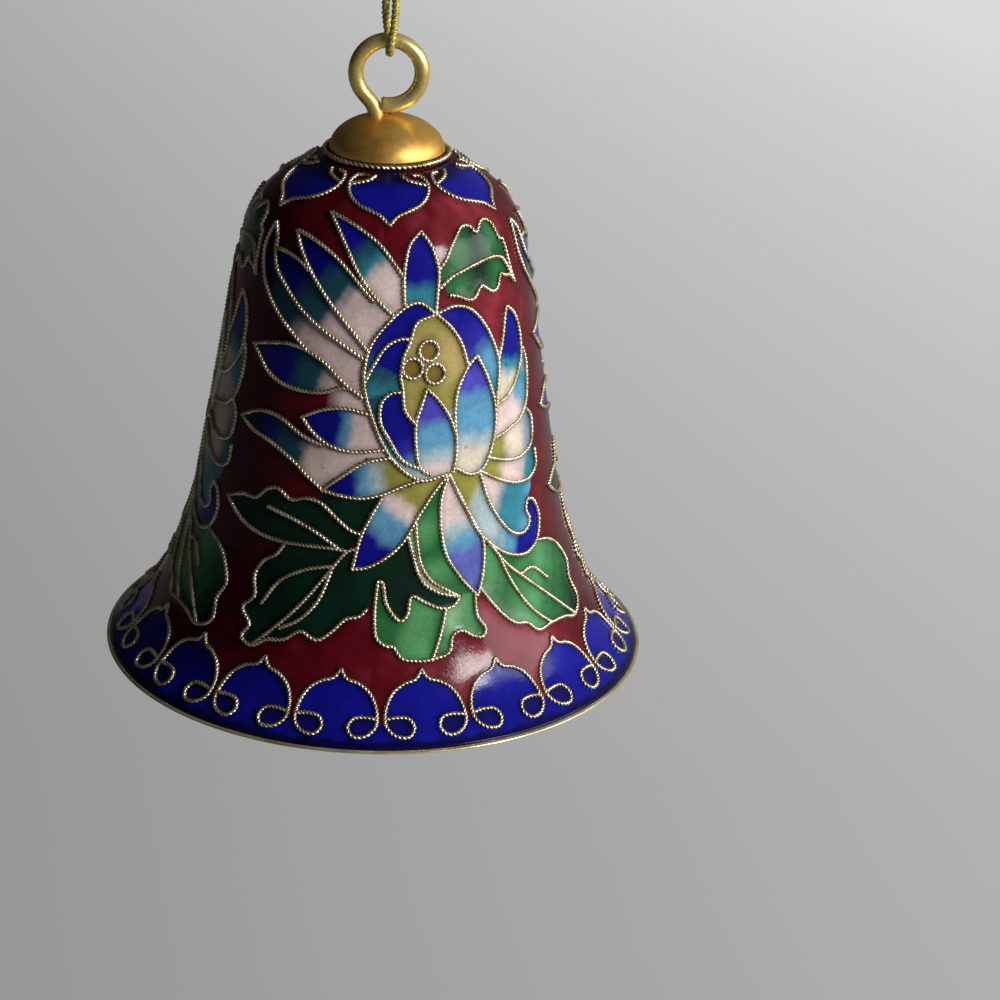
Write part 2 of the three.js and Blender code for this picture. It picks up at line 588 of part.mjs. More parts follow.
const linkFoot = linkHeight - LINK_RADIUS;
const pinEyeHeight = linkFoot + LINK_WIRE / 2 + PIN_WIRE / 2 + CHAIN_CLEARANCE - PIN_EYE_RADIUS;
const ballFoot = BALL_HEIGHT - BALL_RADIUS;

function clapperPin() {
  const path = [
    ...arc(0, pinEyeHeight, PIN_EYE_RADIUS, PIN_EYE_ANGLE, PIN_EYE_ANGLE + PIN_EYE_SWEEP, 12),
    place(-PIN_WIRE / 3, pinEyeHeight - PIN_EYE_RADIUS * 1.3),
    place(0, pinEyeHeight - PIN_EYE_RADIUS * 2),
    place(0, BALL_HEIGHT + BALL_RADIUS),
    place(0, ballFoot - BORE_CLEARANCE),
  ];
  const headTop = ballFoot - BORE_CLEARANCE;
  const head = turned([
    [0, headTop],
    [PIN_HEAD_RADIUS, headTop],
    [PIN_HEAD_RADIUS, headTop - PIN_HEAD_THICKNESS],
    [0, headTop - PIN_HEAD_THICKNESS],
  ], SMALL_SEGMENTS);
  return geometryOf(joined([roundWire(path, PIN_WIRE, 28, 6), head]));
}
bell.add(piece('clapper_pin', clapperPin(), 'brass'));

function clapperBall() {
  const bore = PIN_WIRE / 2 + BORE_CLEARANCE;
  const lean = Math.acos(bore / BALL_RADIUS);
  const rows = 8;
  const face = Array.from({ length: rows + 1 }, (unused, i) => {
    const angle = -lean + (2 * lean * i) / rows;
    return [BALL_RADIUS * Math.cos(angle), BALL_HEIGHT + BALL_RADIUS * Math.sin(angle)];
  });
  return turned(face, SMALL_SEGMENTS);
}
bell.add(piece('clapper_ball', clapperBall(), 'brass'));

// Thread: one length folded through the ring, its two ends rising side by side to the knot.
// The thread parts a little under the knot, where a hook would hold it.
const foldHeight = eyeHeight + EYE_RADIUS;
const foldRadius = EYE_WIRE / 2 + THREAD_CLEARANCE + THREAD / 2;
const knotFoot = HANG_HEIGHT + KNOT_DROP;
const threadHalf = [
  [THREAD_SPREAD, 0, knotFoot],
  [(THREAD_SPREAD + HOOK_SPREAD) / 2, 0, HANG_HEIGHT + KNOT_DROP * 0.4],
  [HOOK_SPREAD, 0, HANG_HEIGHT - HOOK_LENGTH * 0.1],
  [HOOK_SPREAD * 0.85, 0, HANG_HEIGHT - HOOK_LENGTH * 0.4],
  [(THREAD_SPREAD + HOOK_SPREAD) / 3, 0, HANG_HEIGHT - HOOK_LENGTH * 0.7],
  [THREAD_SPREAD, 0, HANG_HEIGHT - HOOK_LENGTH],
  [THREAD_SPREAD, 0, foldHeight + FOLD_LENGTH],
  [THREAD_SPREAD, -foldRadius * 0.07, foldHeight + FOLD_LENGTH * 0.6],
  [THREAD_SPREAD * 0.8, -foldRadius * 0.32, foldHeight + FOLD_LENGTH * 0.35],
  [THREAD_SPREAD * 0.3, -foldRadius * 0.86, foldHeight + FOLD_LENGTH * 0.15],
  [0, -foldRadius, foldHeight],
  [0, -foldRadius * Math.SQRT1_2, foldHeight - foldRadius * Math.SQRT1_2],
];
const threadPath = [
  ...threadHalf,
  [0, 0, foldHeight - foldRadius],
  ...threadHalf.map(([x, y, z]) => [-x, -y, z]).reverse(),
].map((point) => new THREE.Vector3(...point));
bell.add(piece('hanging_cord', roundWire(threadPath, THREAD, 44, 6), 'thread'));

// Knot: the two ends tied together.
const knotMiddle = knotFoot + TOUCH_GAP + KNOT_HEIGHT / 2;
const knot = new THREE.SphereGeometry(KNOT_RADIUS, 10, 6).rotateX(Math.PI / 2);
knot.scale(1, 1, KNOT_HEIGHT / (2 * KNOT_RADIUS));
knot.translate(0, 0, knotMiddle);
bell.add(piece('cord_knot', closed(knot), 'thread'));

// The ornament's origin is where the hook holds the thread.
bell.position.z = -HANG_HEIGHT;
const ornament = new THREE.Group();
ornament.add(bell);

export default ornament;
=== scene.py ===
import math

import bpy
import numpy as np
from mathutils import Matrix, Vector, kdtree


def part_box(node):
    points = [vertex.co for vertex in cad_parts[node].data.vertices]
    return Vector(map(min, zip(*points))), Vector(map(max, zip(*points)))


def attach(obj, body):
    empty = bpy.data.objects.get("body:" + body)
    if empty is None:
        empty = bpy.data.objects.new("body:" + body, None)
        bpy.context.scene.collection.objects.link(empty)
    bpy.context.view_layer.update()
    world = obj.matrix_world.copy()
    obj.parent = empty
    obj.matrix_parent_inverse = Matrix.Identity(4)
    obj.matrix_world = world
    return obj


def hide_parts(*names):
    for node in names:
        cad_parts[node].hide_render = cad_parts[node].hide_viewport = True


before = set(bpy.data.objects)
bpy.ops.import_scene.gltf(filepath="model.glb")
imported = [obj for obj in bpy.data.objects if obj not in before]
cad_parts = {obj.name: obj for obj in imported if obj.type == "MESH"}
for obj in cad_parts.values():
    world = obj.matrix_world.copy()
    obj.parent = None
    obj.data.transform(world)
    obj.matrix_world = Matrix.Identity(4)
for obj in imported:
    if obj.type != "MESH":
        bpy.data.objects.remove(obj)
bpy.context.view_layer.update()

bl_info = {
    "name": "Cloisonne bell ornament",
    "version": (1, 0, 0),
    "blender": (4, 5, 0),
    "location": "View3D > Sidebar > Bell",
    "description": "Enamel, wirework, gilt fittings, clapper and thread of a hanging cloisonne bell",
    "category": "Object",
}

FULL_TURN = 2 * math.pi
SPAN = 10  # points on each span of a smooth line

# Heights here are in millimetres above the rim; the frame's origin is the hang point.
HANG_HEIGHT = 80.0
MM = 0.001

# Outer face of the enamel: radius and height.
OUTLINE = [
    (26, 0), (22.8, 2.944), (20.6, 6.4), (18.65, 11.2), (17.3, 16), (15.35, 27.5), (13.4, 39),
    (11.524, 44.25), (7.74, 47.3), (5.6, 48.3),
]
CROWN_TOP = 48.9
SHANK_HOLE = 0.9
RIM_TOP = 0.28
RIM_INNER = 22.9
ENAMEL_DEPTH = 0.5
LINING_DEPTH = 1.32
WALL_DEPTH = 1.62
CAP_BASE = 48.75
CAP_RADIUS = 5.3
CAP_RISE = 3.2
CAP_DEPTH = 0.5
EYE_HEIGHT = 55.8
EYE_RADIUS = 3.0
EYE_WIRE = 1.4
EYE_ARC = (260, 580)
INNER_EYE_HEIGHT = 43.1
INNER_EYE_RADIUS = 2.0
INNER_EYE_ARC = (52, -220)
LINK_HEIGHT = 40.4
LINK_RADIUS = 2.0
LINK_WIRE = 0.9
PIN_EYE_HEIGHT = 38.2
PIN_EYE_RADIUS = 1.3
PIN_EYE_ARC = (-38, 232)
PIN_WIRE = 1.0
BALL_HEIGHT = 12.0
BALL_RADIUS = 4.5
BALL_HOLE = 0.6
THREAD = 0.78
THREAD_SPREAD = 0.45
THREAD_GAP = 0.06
KNOT_FOOT = 1.6
KNOT_MIDDLE = 1.7
FLOWER_TURNS = (0, 124, 241.5)
RIM_LAPPETS = 18
RIM_LAPPET_TURN = 12
CROWN_LAPPETS = 6
CROWN_LAPPET_TURN = 2
CROWN_RING_RADIUS = 5.7
CROWN_RING_HEIGHT = 48.6
CROWN_RING_WIRE = 0.52
CROWN_RING_PITCH = 1.0

# Strands in a twist, and the groove between them as a share of the radius. The wires lie a little above the face.
WIRE_TWIST = {"lobes": 2.0, "groove": 0.24}
THREAD_TWIST = {"lobes": 3.0, "groove": 0.12}
WIRE_LIFT = 0.09

# The enamel lies a little below the face and climbs the wires within a reach of them; along the wires its colour is
# darkened as painted shade.
ENAMEL_SINK = 0.02
MENISCUS_REACH = 0.4
WIRE_SHADE_REACH = 0.7

# Painted light on the ground: how pale it gets at each flower, a painted sheen to the flower's right and painted
# shade to its left, with its course round from the flower's middle and up to the crown.
GROUND_SHEEN = (1.0, 0.9, 0.4)
GROUND_SHEEN_ROUND = ([-70, -52, -20, 20, 45, 66, 86], [0, 0.1, 0.4, 0.6, 0.85, 0.45, 0])
GROUND_SHEEN_UP = ([46.4, 47.6], [1, 0])

# The stage, in metres and radians: yaw, pitch and roll of the camera; each lamp's place, size and colour.
CAMERA_TURN = (0.047, 0.402, 0.045)
CAMERA_PLACE = (0.0, -0.2502, 0.0406)
CAMERA_LENS = 101.7
LAMPS = [
    ("key", (0.389, -0.303, 0.165), (0.15, 0.11), (1.0, 0.98, 0.96)),
    ("window", (0.517, -0.11, 0.097), (0.36, 0.2), (0.98, 0.99, 1.0)),
    ("back", (0.04, 0.5, 0.05), (0.4, 0.3), (1.0, 0.99, 0.98)),
]
LAMP_TARGET = (0.0, 0.0, -0.055)
FLOOR_HEIGHT = -0.42
FLOOR_REACH = 9

# Wires are points of (degrees round from the front, height).
RIM_ARCH_HALF = [
    (0, 5.9), (-1.4, 5.2), (-4.6, 4.8), (-7.3, 4.1), (-8.7, 3.2), (-9.1, 2.5), (-9, 1.9), (-7.8, 1.35), (-5.7, 1.05),
    (-3.7, 1.15), (-2.8, 1.65), (-3.5, 2.15), (-5.8, 2.35), (-8.8, 2.25),
]
CROWN_SHIELD_HALF = [
    (0, 44.8), (-3.8, 45.4), (-9.5, 45.75), (-16.5, 46.1), (-22.5, 46.6), (-26.3, 47.15), (-27.2, 47.5),
    (-25.2, 47.85), (-19, 47.95),
]
CROWN_SCROLL_HALF = [(-26.8, 47.3), (-20, 47.5), (-14, 47.7), (-10, 47.95)]

LOTUS = {
    "corolla_left": [
        (20, 37.4), (13, 38.5), (3, 37), (-5, 34), (-6, 31.5), (-3, 28.5), (3, 25), (13, 22.6), (23, 22.9),
    ],
    "corolla_right": [
        (20, 37.4), (28, 37.9), (36, 37.1), (43, 34.6), (46, 32), (44, 29), (41, 25.4), (36, 22.9), (31, 22.5),
        (25, 23.4),
    ],
    "pod_left": [
        (20, 37.4), (12, 36.5), (10.2, 35.1), (7.8, 33.7), (6.8, 32.1), (7.6, 30.7), (8, 29.2), (12, 27.6),
    ],
    "pod_right": [(20, 37.4), (26, 36), (30, 34.3), (32, 32.4)],
    "inner_left": [(10.4, 35.3), (6, 35.3), (1, 34.5), (-3, 32.8), (-6, 31.2)],
    "lower_left": [(7.6, 30.6), (3, 30.4), (0, 29.3), (0, 28), (3, 26.4), (7, 24.6), (13, 23.6)],
    "front_left_a": [(16, 30.8), (14, 29.3), (12, 27.6), (12, 25.7), (13, 23.9), (17, 22.9)],
    "front_left_b": [(16, 30.8), (20, 29.7), (24, 28), (26.4, 26)],
    "front_right_a": [(36, 33.2), (31, 32), (27, 30), (26, 28.3), (26, 25), (24.5, 23)],
    "front_right_b": [(36, 33.2), (40, 31), (42.5, 28.6), (42.5, 26.8)],
    "top_a": [(16, 44.4), (10, 43.1), (8, 41), (8, 38.3)],
    "top_b": [(16, 44.4), (20, 43.1), (22, 41.2), (21, 39.3), (20, 37.5)],
    "petal_1_a": [(-27, 45.4), (-21, 44.4), (-15, 42.8), (-10, 41), (-4, 39.2), (4, 37.4)],
    "petal_1_b": [(-27, 45.4), (-18, 45), (-9, 44.3), (-1, 43.2), (5, 41.6), (8, 40.6)],
    "petal_2_a": [(-40, 43.6), (-36, 42.4), (-30, 40.7), (-23, 38.9), (-17, 37.4), (-11, 35.9), (-5, 34.2)],
    "petal_2_b": [(-40, 43.6), (-32, 43.3), (-21, 42.3), (-14, 41.1), (-8, 39.7), (-3, 38.5)],
    "petal_3_b": [(-49, 41.7), (-41, 41.6), (-34, 41.1), (-30, 40.5)],
    "petal_3_a": [(-49, 41.7), (-47, 40.4), (-40, 38.8), (-32, 37.2), (-23, 35.8), (-14, 34.6), (-5, 33.3)],
    "petal_4_b": [(-54, 43.7), (-51, 43), (-49.5, 42.4), (-49, 41.5)],
    "petal_4_a": [(-54, 43.7), (-56, 41.5), (-53, 39.3), (-48, 37.7), (-42, 36.3), (-35, 35), (-27, 33.5)],
    "petal_5_b": [(-52, 32.8), (-42, 33.5), (-35, 33.8), (-28, 33.6), (-20, 32.7), (-13, 31.2), (-6, 30)],
    "petal_5_a": [
        (-52, 32.8), (-48, 31.9), (-43, 30.8), (-36, 30.1), (-28, 29.9), (-20, 30.1), (-14, 30.7), (-11, 30.7),
    ],
    "petal_6_b": [(-27, 27.6), (-19, 28.6), (-11, 28.9), (-3, 28.5)],
    "petal_6_a": [(-27, 27.6), (-23, 26.5), (-17, 25.5), (-9, 25.1), (2, 25.4)],
    "petal_7_b": [(-53, 26), (-44, 27.1), (-35, 27), (-26, 25.9), (-18, 25.3)],
    "petal_7_a": [(-53, 26), (-47, 25.2), (-38, 24.6), (-29, 23.5), (-23, 22.3), (-18, 21.4)],
    "petal_8_b": [(-18, 21.3), (-11, 22.9), (-5, 24.1), (4, 24.7)],
    "petal_8_a": [(-18, 21.3), (-12, 21), (-5, 20.9), (1, 21.3), (8, 22.1), (14, 22.6)],
    "petal_9_a": [(-7, 14.4), (-6, 16), (-5, 17.3), (-2.5, 19), (1.5, 21.2)],
    "petal_9_b": [(-7, 14.4), (-3, 14.6), (3, 15.6), (8, 17), (13, 19.4), (18, 21.4), (23, 22.9)],
    "petal_10_a": [(30, 11.4), (25, 13.4), (21, 15.7), (19.8, 18), (20, 20.4), (23, 22.9)],
    "petal_10_b": [(30, 11.4), (33, 13.5), (34, 15.9), (32, 17.5), (28, 19.7), (23, 22.9)],
    "hook_outer": [
        (23, 22.9), (28, 19.9), (32, 17.3), (38, 15.3), (45, 14), (52, 13.7), (58, 14.7), (60, 16.4), (58, 18),
        (54.5, 18.5),
    ],
    "hook_inner": [
        (54.5, 18.5), (53.2, 17.6), (54.5, 16.6), (52, 15.7), (46, 16), (41, 17.6), (37, 19.8), (34, 22.8),
    ],
    "right_1": [(34.5, 22.6), (43, 21.2), (51, 20.4), (58, 20.4), (62, 21.4), (62, 22.8)],
    "right_2": [(37.5, 23.7), (46, 22.9), (54, 22.7), (61, 23.8), (62, 25.6), (59, 26.8)],
    "right_3": [(41, 25.2), (49, 25.7), (55, 26.2), (60, 27.6), (62, 29.4)],
    "blue_a": [(53, 36.8), (51, 35.6), (49, 34), (46, 32.2)],
    "blue_b": [(53, 36.8), (58, 35.6), (60, 33.8), (59.5, 32), (56, 30.3), (50, 28.8), (43.5, 28.2)],
    "right_4": [(62, 29.4), (62.5, 31), (61, 32.3), (59.3, 32.6)],
}
SEEDS = [(16.9, 34.2), (10.9, 32.7), (19, 32.1)]
SEED_RADIUS = 0.9

LEAVES = {
    "upper_top": [
        (21.4, 41), (25.6, 42), (28.4, 42.9), (32, 43.7), (35.4, 44.3), (38, 44.4), (41, 44.2), (42.6, 43.7),
        (44.5, 43.9), (46.7, 44.3), (49.8, 44.5), (52.6, 44.3), (54.5, 43.8), (55.2, 42.8), (57.5, 42.5),
        (58.3, 41.3), (59.2, 39.6), (60.6, 38.6),
    ],
    "upper_foot": [
        (60.6, 38.6), (57.6, 39.3), (54, 39.5), (52.2, 39.8), (50.6, 39.3), (49.6, 38.8), (47.8, 38.5),
        (45.6, 38.5), (43, 38.9), (40.9, 39.2), (39, 38.9), (37.3, 38.4), (35, 38.2), (32.3, 38.4),
        (29.4, 38.7), (25.9, 38.9),
    ],
    "upper_rib": [
        (21, 39.4), (27, 40.4), (33.7, 40.9), (42, 41.3), (47.5, 41.4), (51.5, 41.3), (55, 40.9), (60.6, 38.6),
    ],
    "left_top": [
        (-54, 18.2), (-47, 19), (-41, 19.2), (-37, 20.3), (-33, 20.6), (-28, 19.9), (-23, 20.3), (-18, 20.1),
        (-13, 19), (-8, 17.9), (-4.5, 17.6),
    ],
    "left_foot": [(-54, 18.2), (-48, 17), (-41, 16.2), (-32, 15.9), (-22, 16), (-14, 16.1), (-9, 16)],
    "left_rib": [(-36, 18.7), (-27, 18.2), (-19, 17.4), (-11, 16.1)],
    "low_edge": [
        (-28, 16), (-31, 14.6), (-35, 13.7), (-37, 12.3), (-35.5, 10.6), (-38.5, 9.3), (-35, 8), (-36.5, 7),
        (-33, 6.4), (-29, 7.2), (-24, 7.6), (-20, 8.5), (-15, 8), (-11, 9), (-8, 10), (-4, 10.4),
        (-2, 11.1),
    ],
    "low_rib": [(-5.8, 16.3), (-9, 15.9), (-13, 14.3), (-22, 10.4), (-33, 6.4)],
    "low_vein_left": [(-12, 14.6), (-22, 13.7), (-29, 12.2), (-33, 10)],
    "low_vein_right": [(-13, 14.2), (-16, 11.4), (-21, 9.4), (-26, 8.4)],
    "bottom_edge": [(0.6, 13.4), (0, 11.5), (0, 9.6), (0.4, 8.7), (3, 7.9), (5, 7.8), (7, 6.9), (11, 6.6), (15, 6.6)],
    "bottom_fold": [
        (0.6, 13.4), (2, 13.3), (3, 11.6), (7, 10), (9, 10.6), (10, 12), (14, 11.5), (18, 10.9), (22, 10.9),
        (24.5, 11.6),
    ],
    "sickle_left": [(9.5, 17.4), (11, 15.5), (13, 13.6), (17, 12.4), (24.5, 11.6)],
    "sickle_right": [(11.8, 18.6), (12.2, 16.8), (13.2, 14.9), (16, 13.4), (20, 12.5), (24.5, 11.6)],
    "bottom_stem": [(15, 6.6), (17.5, 8.4), (19, 9.8), (20, 10.9)],
    "bottom_curl": [
        (15, 6.6), (20, 7.2), (21, 8.3), (24, 8.7), (27, 8.1), (30, 7.9), (31, 8.5), (29, 9.8), (29.3, 11.8),
    ],
    "right_edge": [
        (56.5, 14.3), (64, 13.6), (69, 12.4), (72, 10.6), (70, 9), (71, 7.4), (66, 6.2), (60, 6.7), (54, 6.9),
        (48, 6.9), (45, 7.8), (41, 8.2), (38, 9), (35, 10.2), (31.3, 12),
    ],
    "right_rib": [(35.5, 16.1), (41, 13.7), (48, 11.6), (57, 9), (66, 6.2)],
    "right_vein_a": [(39, 14.6), (43, 11.4), (48, 8.8), (54, 6.9)],
    "right_vein_b": [(46.5, 12.1), (52, 12.2), (58, 10.6)],
}
LEAF_NODES = {
    "upper_leaf": ["upper_top", "upper_foot", "upper_rib"],
    "left_leaves": ["left_top", "left_foot", "left_rib", "low_edge", "low_rib", "low_vein_left", "low_vein_right"],
    "bottom_leaf": ["bottom_edge", "bottom_fold", "sickle_left", "sickle_right", "bottom_stem", "bottom_curl"],
    "right_leaf": ["right_edge", "right_rib", "right_vein_a", "right_vein_b"],
}

# Enamel colours as they look on the piece, 0 to 255, where the rose is a painted sheen on the ground; the settings
# add maroon, cobalt and green.
COLOURS = {
    "maroon_deep": (64, 8, 17),
    "sheen_rose": (160, 58, 70),
    "periwinkle": (104, 112, 196),
    "seed": (146, 120, 58),
    "cobalt_deep": (10, 9, 66),
    "navy": (13, 11, 70),
    "loop_blue": (20, 17, 104),
    "violet": (48, 44, 164),
    "violet_light": (84, 78, 196),
    "teal": (40, 90, 108),
    "turquoise": (62, 142, 164),
    "sky": (104, 168, 206),
    "pale": (186, 206, 212),
    "pink": (244, 219, 214),
    "cream": (238, 226, 204),
    "olive": (164, 158, 78),
    "ochre": (188, 168, 104),
    # green_deep and green_dark also serve as painted shade on the leaves at each flower's left.
    "green_deep": (16, 51, 35),
    "green_dark": (18, 41, 30),
    "green_light": (92, 160, 104),
    "sickle": (150, 196, 150),
    "pale_green": (206, 228, 198),
    "olive_dark": (84, 92, 52),
    "lilac": (150, 160, 186),
}

# Cells in painting order: the wires round each, the line its shades follow, and the shades along that line.
# A minus sign runs a wire backwards, and bare points lead from one wire to the next.
CELLS = {
    "upper_leaf": (
        ["upper_top", "upper_foot"],
        [(22, 40.3), (60, 40.2)], "green green green_deep green green_deep",
    ),
    # Painted shade: the leaf at each flower's left is laid in dark greens.
    "left_leaf": (
        ["left_top", "-left_foot"],
        [(-54, 18.2), (-8, 17)], "green_dark green_deep green_deep green_dark",
    ),
    # Painted shade: the low leaf at the left is laid in dark greens.
    "low_leaf": (
        [
            "low_edge", (0.6, 13.4), "bottom_fold", "-sickle_left", (8, 17), (3, 15.6), (-3, 14.6), (-6, 15.8),
            (-14, 16.1), (-22, 16),
        ],
        [(-36, 8), (-5, 14), (18, 12)],
        "green_deep green_dark green_deep green_dark green_deep green_dark green_deep",
    ),
    "bottom_leaf": (
        ["bottom_edge", "bottom_stem", (18, 10.9), (14, 11.5), (10, 12), (9, 10.6), (7, 10), (3, 11.6), (2, 13.3)],
        [(1, 10), (18, 8.5)], "green green green_light green_light green",
    ),
    # Painted highlight: the pale sickle shade along the curled leaf's middle.
    "curl_leaf": (
        ["bottom_curl", (24.5, 11.6), (22, 10.9), "-bottom_stem"],
        [(16, 7), (22, 9.5), (30, 9)], "olive_dark green_light sickle green_light green",
    ),
    "sickle_leaf": (
        [
            "sickle_right", (29.3, 11.8), (30, 11.4), (25, 13.4), (21, 15.7), (19.8, 18), (20, 20.4), (22.4, 22.6),
            (17, 21),
        ],
        [(15, 20), (24, 12.5)], "green green_light green green_light green",
    ),
    "sickle": (["sickle_left", "-sickle_right"], [(9, 17), (24, 12)], "sickle pale_green pale_green sickle"),
    "right_leaf": (
        ["right_edge", (33, 14.5), (36, 15.8), (44, 14.1), (52, 13.7)],
        [(36, 15), (68, 7)], "green_light green green_light green green_deep",
    ),
    "petal_4": (
        [
            "petal_4_a", (-20, 32.7), (-13, 31.2), (-5.9, 30), (-5.9, 31.5), (-5, 33.3), (-14, 34.6), (-23, 35.8),
            (-32, 37.2), (-40, 38.8), (-47, 40.4), "-petal_4_b",
        ],
        [(-54, 43), (-30, 35.5), (-6, 31.8)], "navy navy navy teal teal pink pink pink pink",
    ),
    "petal_3": (
        ["petal_3_a", (-5, 34.2), (-11, 35.9), (-17, 37.4), (-30, 40.5), "-petal_3_b"],
        [(-48, 41.4), (-6, 34)], "navy cobalt cobalt teal teal pink pink pink",
    ),
    "petal_2": (
        ["petal_2_a", (-2.4, 35.1), (0.4, 36.1), (4, 37.3), (0, 38.3), (-3, 38.9), "-petal_2_b"],
        [(-39, 43.3), (-5, 36)], "navy cobalt cobalt cobalt teal teal pink pink pink",
    ),
    "petal_1": (
        ["petal_1_a", (7.9, 38.1), (8, 40.6), "-petal_1_b"],
        [(-26, 45.2), (5, 39)], "navy cobalt cobalt cobalt teal turquoise pink pink pink",
    ),
    "top_petal": (
        ["top_a", (14, 37.8), "-top_b"],
        [(16, 44.4), (15, 38)], "cobalt cobalt cobalt cobalt turquoise turquoise",
    ),
    "petal_5": (
        ["petal_5_a", (-5, 30), "-petal_5_b"],
        [(-51, 32.8), (-6, 31)], "navy cobalt cobalt cobalt teal teal pink pink pink",
    ),
    "fill_5_6": (["petal_6_b", (-6, 30.2), "-petal_5_a"], [(-27, 29), (-4, 29)], "maroon maroon pink pink"),
    "petal_roots": ([(-10, 24.9), (3, 24.4), (5, 25.6), (3, 26.8), (-6, 26)], [(-10, 25), (5, 25.6)], "pink pink"),
    "petal_7": (
        ["petal_7_a", (-16, 22), (-4, 24.6), (-9, 25.1), (-18, 25.3), "-petal_7_b"],
        [(-52, 26), (-10, 23.5)], "navy navy cobalt teal teal pink pink pink",
    ),
    "petal_6": (
        ["petal_6_a", (1, 27), "-petal_6_b"],
        [(-26, 27.5), (0, 27)], "cobalt cobalt cobalt cobalt sky pink pink pink",
    ),
    "leaf_back": (
        [
            (-18, 21.3), (-12, 21), (-5, 20.9), (1.4, 21.3), (1.4, 21.1), (-2.5, 19), (-5, 17.3), (-8, 17.8),
            (-13, 18.9), (-18, 20),
        ],
        [(-18, 20.8), (0, 20)], "green_dark green_deep green_dark",
    ),
    "petal_8": (
        ["petal_8_a", (8, 24), "-petal_8_b"],
        [(-17, 21.5), (12, 23)], "navy cobalt cobalt sky pale olive olive olive",
    ),
    "petal_9": (
        ["petal_9_a", (10, 22), "-petal_9_b"],
        [(-6, 14.8), (18, 22.2)], "cobalt cobalt cobalt sky sky pink olive olive olive",
    ),
    "petal_10": (
        ["petal_10_a", "-petal_10_b"],
        [(30, 11.6), (22.5, 22.5)], "violet periwinkle periwinkle periwinkle sky pale pink pink pink pink",
    ),
    "hook": (
        ["hook_outer", "hook_inner"],
        [(25, 22), (34, 18.7), (42, 15.9), (51, 14.7), (57.5, 15.6), (57, 17.2), (54, 18)],
        "olive olive pale pale pale sky cobalt cobalt cobalt navy",
    ),
    "inner_right": (
        ["right_1", (57, 19), "hook_inner"],
        [(36, 22), (57, 18.6)], "pink pink turquoise turquoise sky",
    ),
    "right_low": (
        ["right_1", (62, 23.4), "-right_2"],
        [(36, 23), (63, 22)], "olive olive pink pink turquoise navy",
    ),
    "right_mid": (["right_2", "-right_3"], [(39, 24.5), (63, 25)], "olive olive cream cream lilac teal"),
    "right_high": (["right_3", "right_4", "blue_b"], [(42, 26.8), (62, 31)], "pink pink pink sky turquoise lilac"),
    "blue_petal": (
        ["blue_a", "-blue_b"],
        [(53, 36.6), (46, 29)], "cobalt cobalt cobalt cobalt turquoise cream cream",
    ),
    "corolla_fill": (["corolla_left", "-corolla_right"], [(20, 37), (24, 23)], "cobalt teal pale pink"),
    "crescent_left": (
        ["corolla_left", "-pod_left"],
        [(18, 37.6), (5, 36), (-3, 33), (-3, 30)], "cobalt cobalt cobalt violet turquoise pale",
    ),
    "inner_left": (
        ["inner_left", (-3, 28.5), (3, 26), (8, 29), (8.4, 32)],
        [(10, 35), (-2, 33), (0, 29)], "cobalt cobalt cobalt teal turquoise teal",
    ),
    "lower_left": (
        ["lower_left", (12, 25), (12, 27.6)],
        [(4, 30), (6, 27), (13, 24)], "cobalt cobalt cobalt violet sky",
    ),
    "low_crescent": (
        ["lower_left", (12, 22.8), (3, 25), (-3, 28.5), (-5, 30)],
        [(-3, 30), (2, 26), (13, 23)], "teal teal turquoise pale",
    ),
    "crescent_right": (
        ["pod_right", (36, 33.2), (42.5, 28.6), (42.5, 26.8), (41, 25.4), "-corolla_right"],
        [(20, 37.4), (32, 36.5), (42, 32), (43, 27)], "violet cobalt violet sky turquoise pale",
    ),
    "pod": (
        ["pod_right", (31, 32), (27, 30), (24, 28), (16, 30.8), "-pod_left"],
        [(20, 37), (18, 28)], "olive ochre ochre olive ochre",
    ),
    "front_right": (
        ["front_right_a", (33, 22.6), (41, 25.2), "-front_right_b"],
        [(36, 33), (33, 23)], "cobalt violet_light violet_light sky sky sky pale cream cream",
    ),
    "front_left": (
        ["front_left_a", (24, 23.2), (26, 25.5), "-front_left_b"],
        [(16, 30.8), (19, 23.2)], "cobalt violet_light violet_light sky sky pale pink",
    ),
}


def turn_from(turns, centre):
    """Degrees round from a centre line, -180 to 180."""
    return (turns - centre + 180) % 360 - 180


def outline_table(count=600):
    points = np.array(OUTLINE, dtype=float)
    last = len(points) - 1
    rows = []
    for t in np.linspace(0, last, count):
        i = min(int(t), last - 1)
        w = t - i
        before, here, after, beyond = (points[max(0, min(last, i + k))] for k in (-1, 0, 1, 2))
        slope_here = (after - before) / 2
        slope_after = (beyond - here) / 2
        rows.append(
            (2 * here - 2 * after + slope_here + slope_after) * w ** 3
            + (-3 * here + 3 * after - 2 * slope_here - slope_after) * w ** 2
            + slope_here * w + here
        )
    return np.array(rows)


WALL = outline_table()
WALL_SLOPE = np.gradient(WALL, axis=0)
WALL_SLOPE /= np.linalg.norm(WALL_SLOPE, axis=1)[:, None]


def wall_at(height):
    """Radius, outward and upward share of the enamel's normal at a height."""
    radius = np.interp(height, WALL[:, 1], WALL[:, 0])
    out = np.interp(height, WALL[:, 1], WALL_SLOPE[:, 1])
    up = -np.interp(height, WALL[:, 1], WALL_SLOPE[:, 0])
    return radius, out, up


def round_axis(radius, turns, heights):
    """Points at a radius and height round the bell's axis, in metres in the frame."""
    angle = np.radians(turns)
    level = (heights - HANG_HEIGHT) * MM
    return np.stack([radius * MM * np.sin(angle), -radius * MM * np.cos(angle), level], axis=-1)


def on_wall(turns, heights, lift):
    """Points on the bell's face, lifted off it, in metres in the frame."""
    radius, out, up = wall_at(heights)
    return round_axis(radius + out * lift, turns, heights + up * lift)


def under_wall(heights, depth):
    """Points of (radius, height) at a depth inside the bell's face."""
    radius, out, up = wall_at(heights)
    return list(zip(radius - out * depth, heights - up * depth))


def under_rim(depth):
    """The point of (radius, height) on top of the rim band at a depth inside the bell's face."""
    radius, out, _ = wall_at(RIM_TOP)
    return radius - depth / out, RIM_TOP


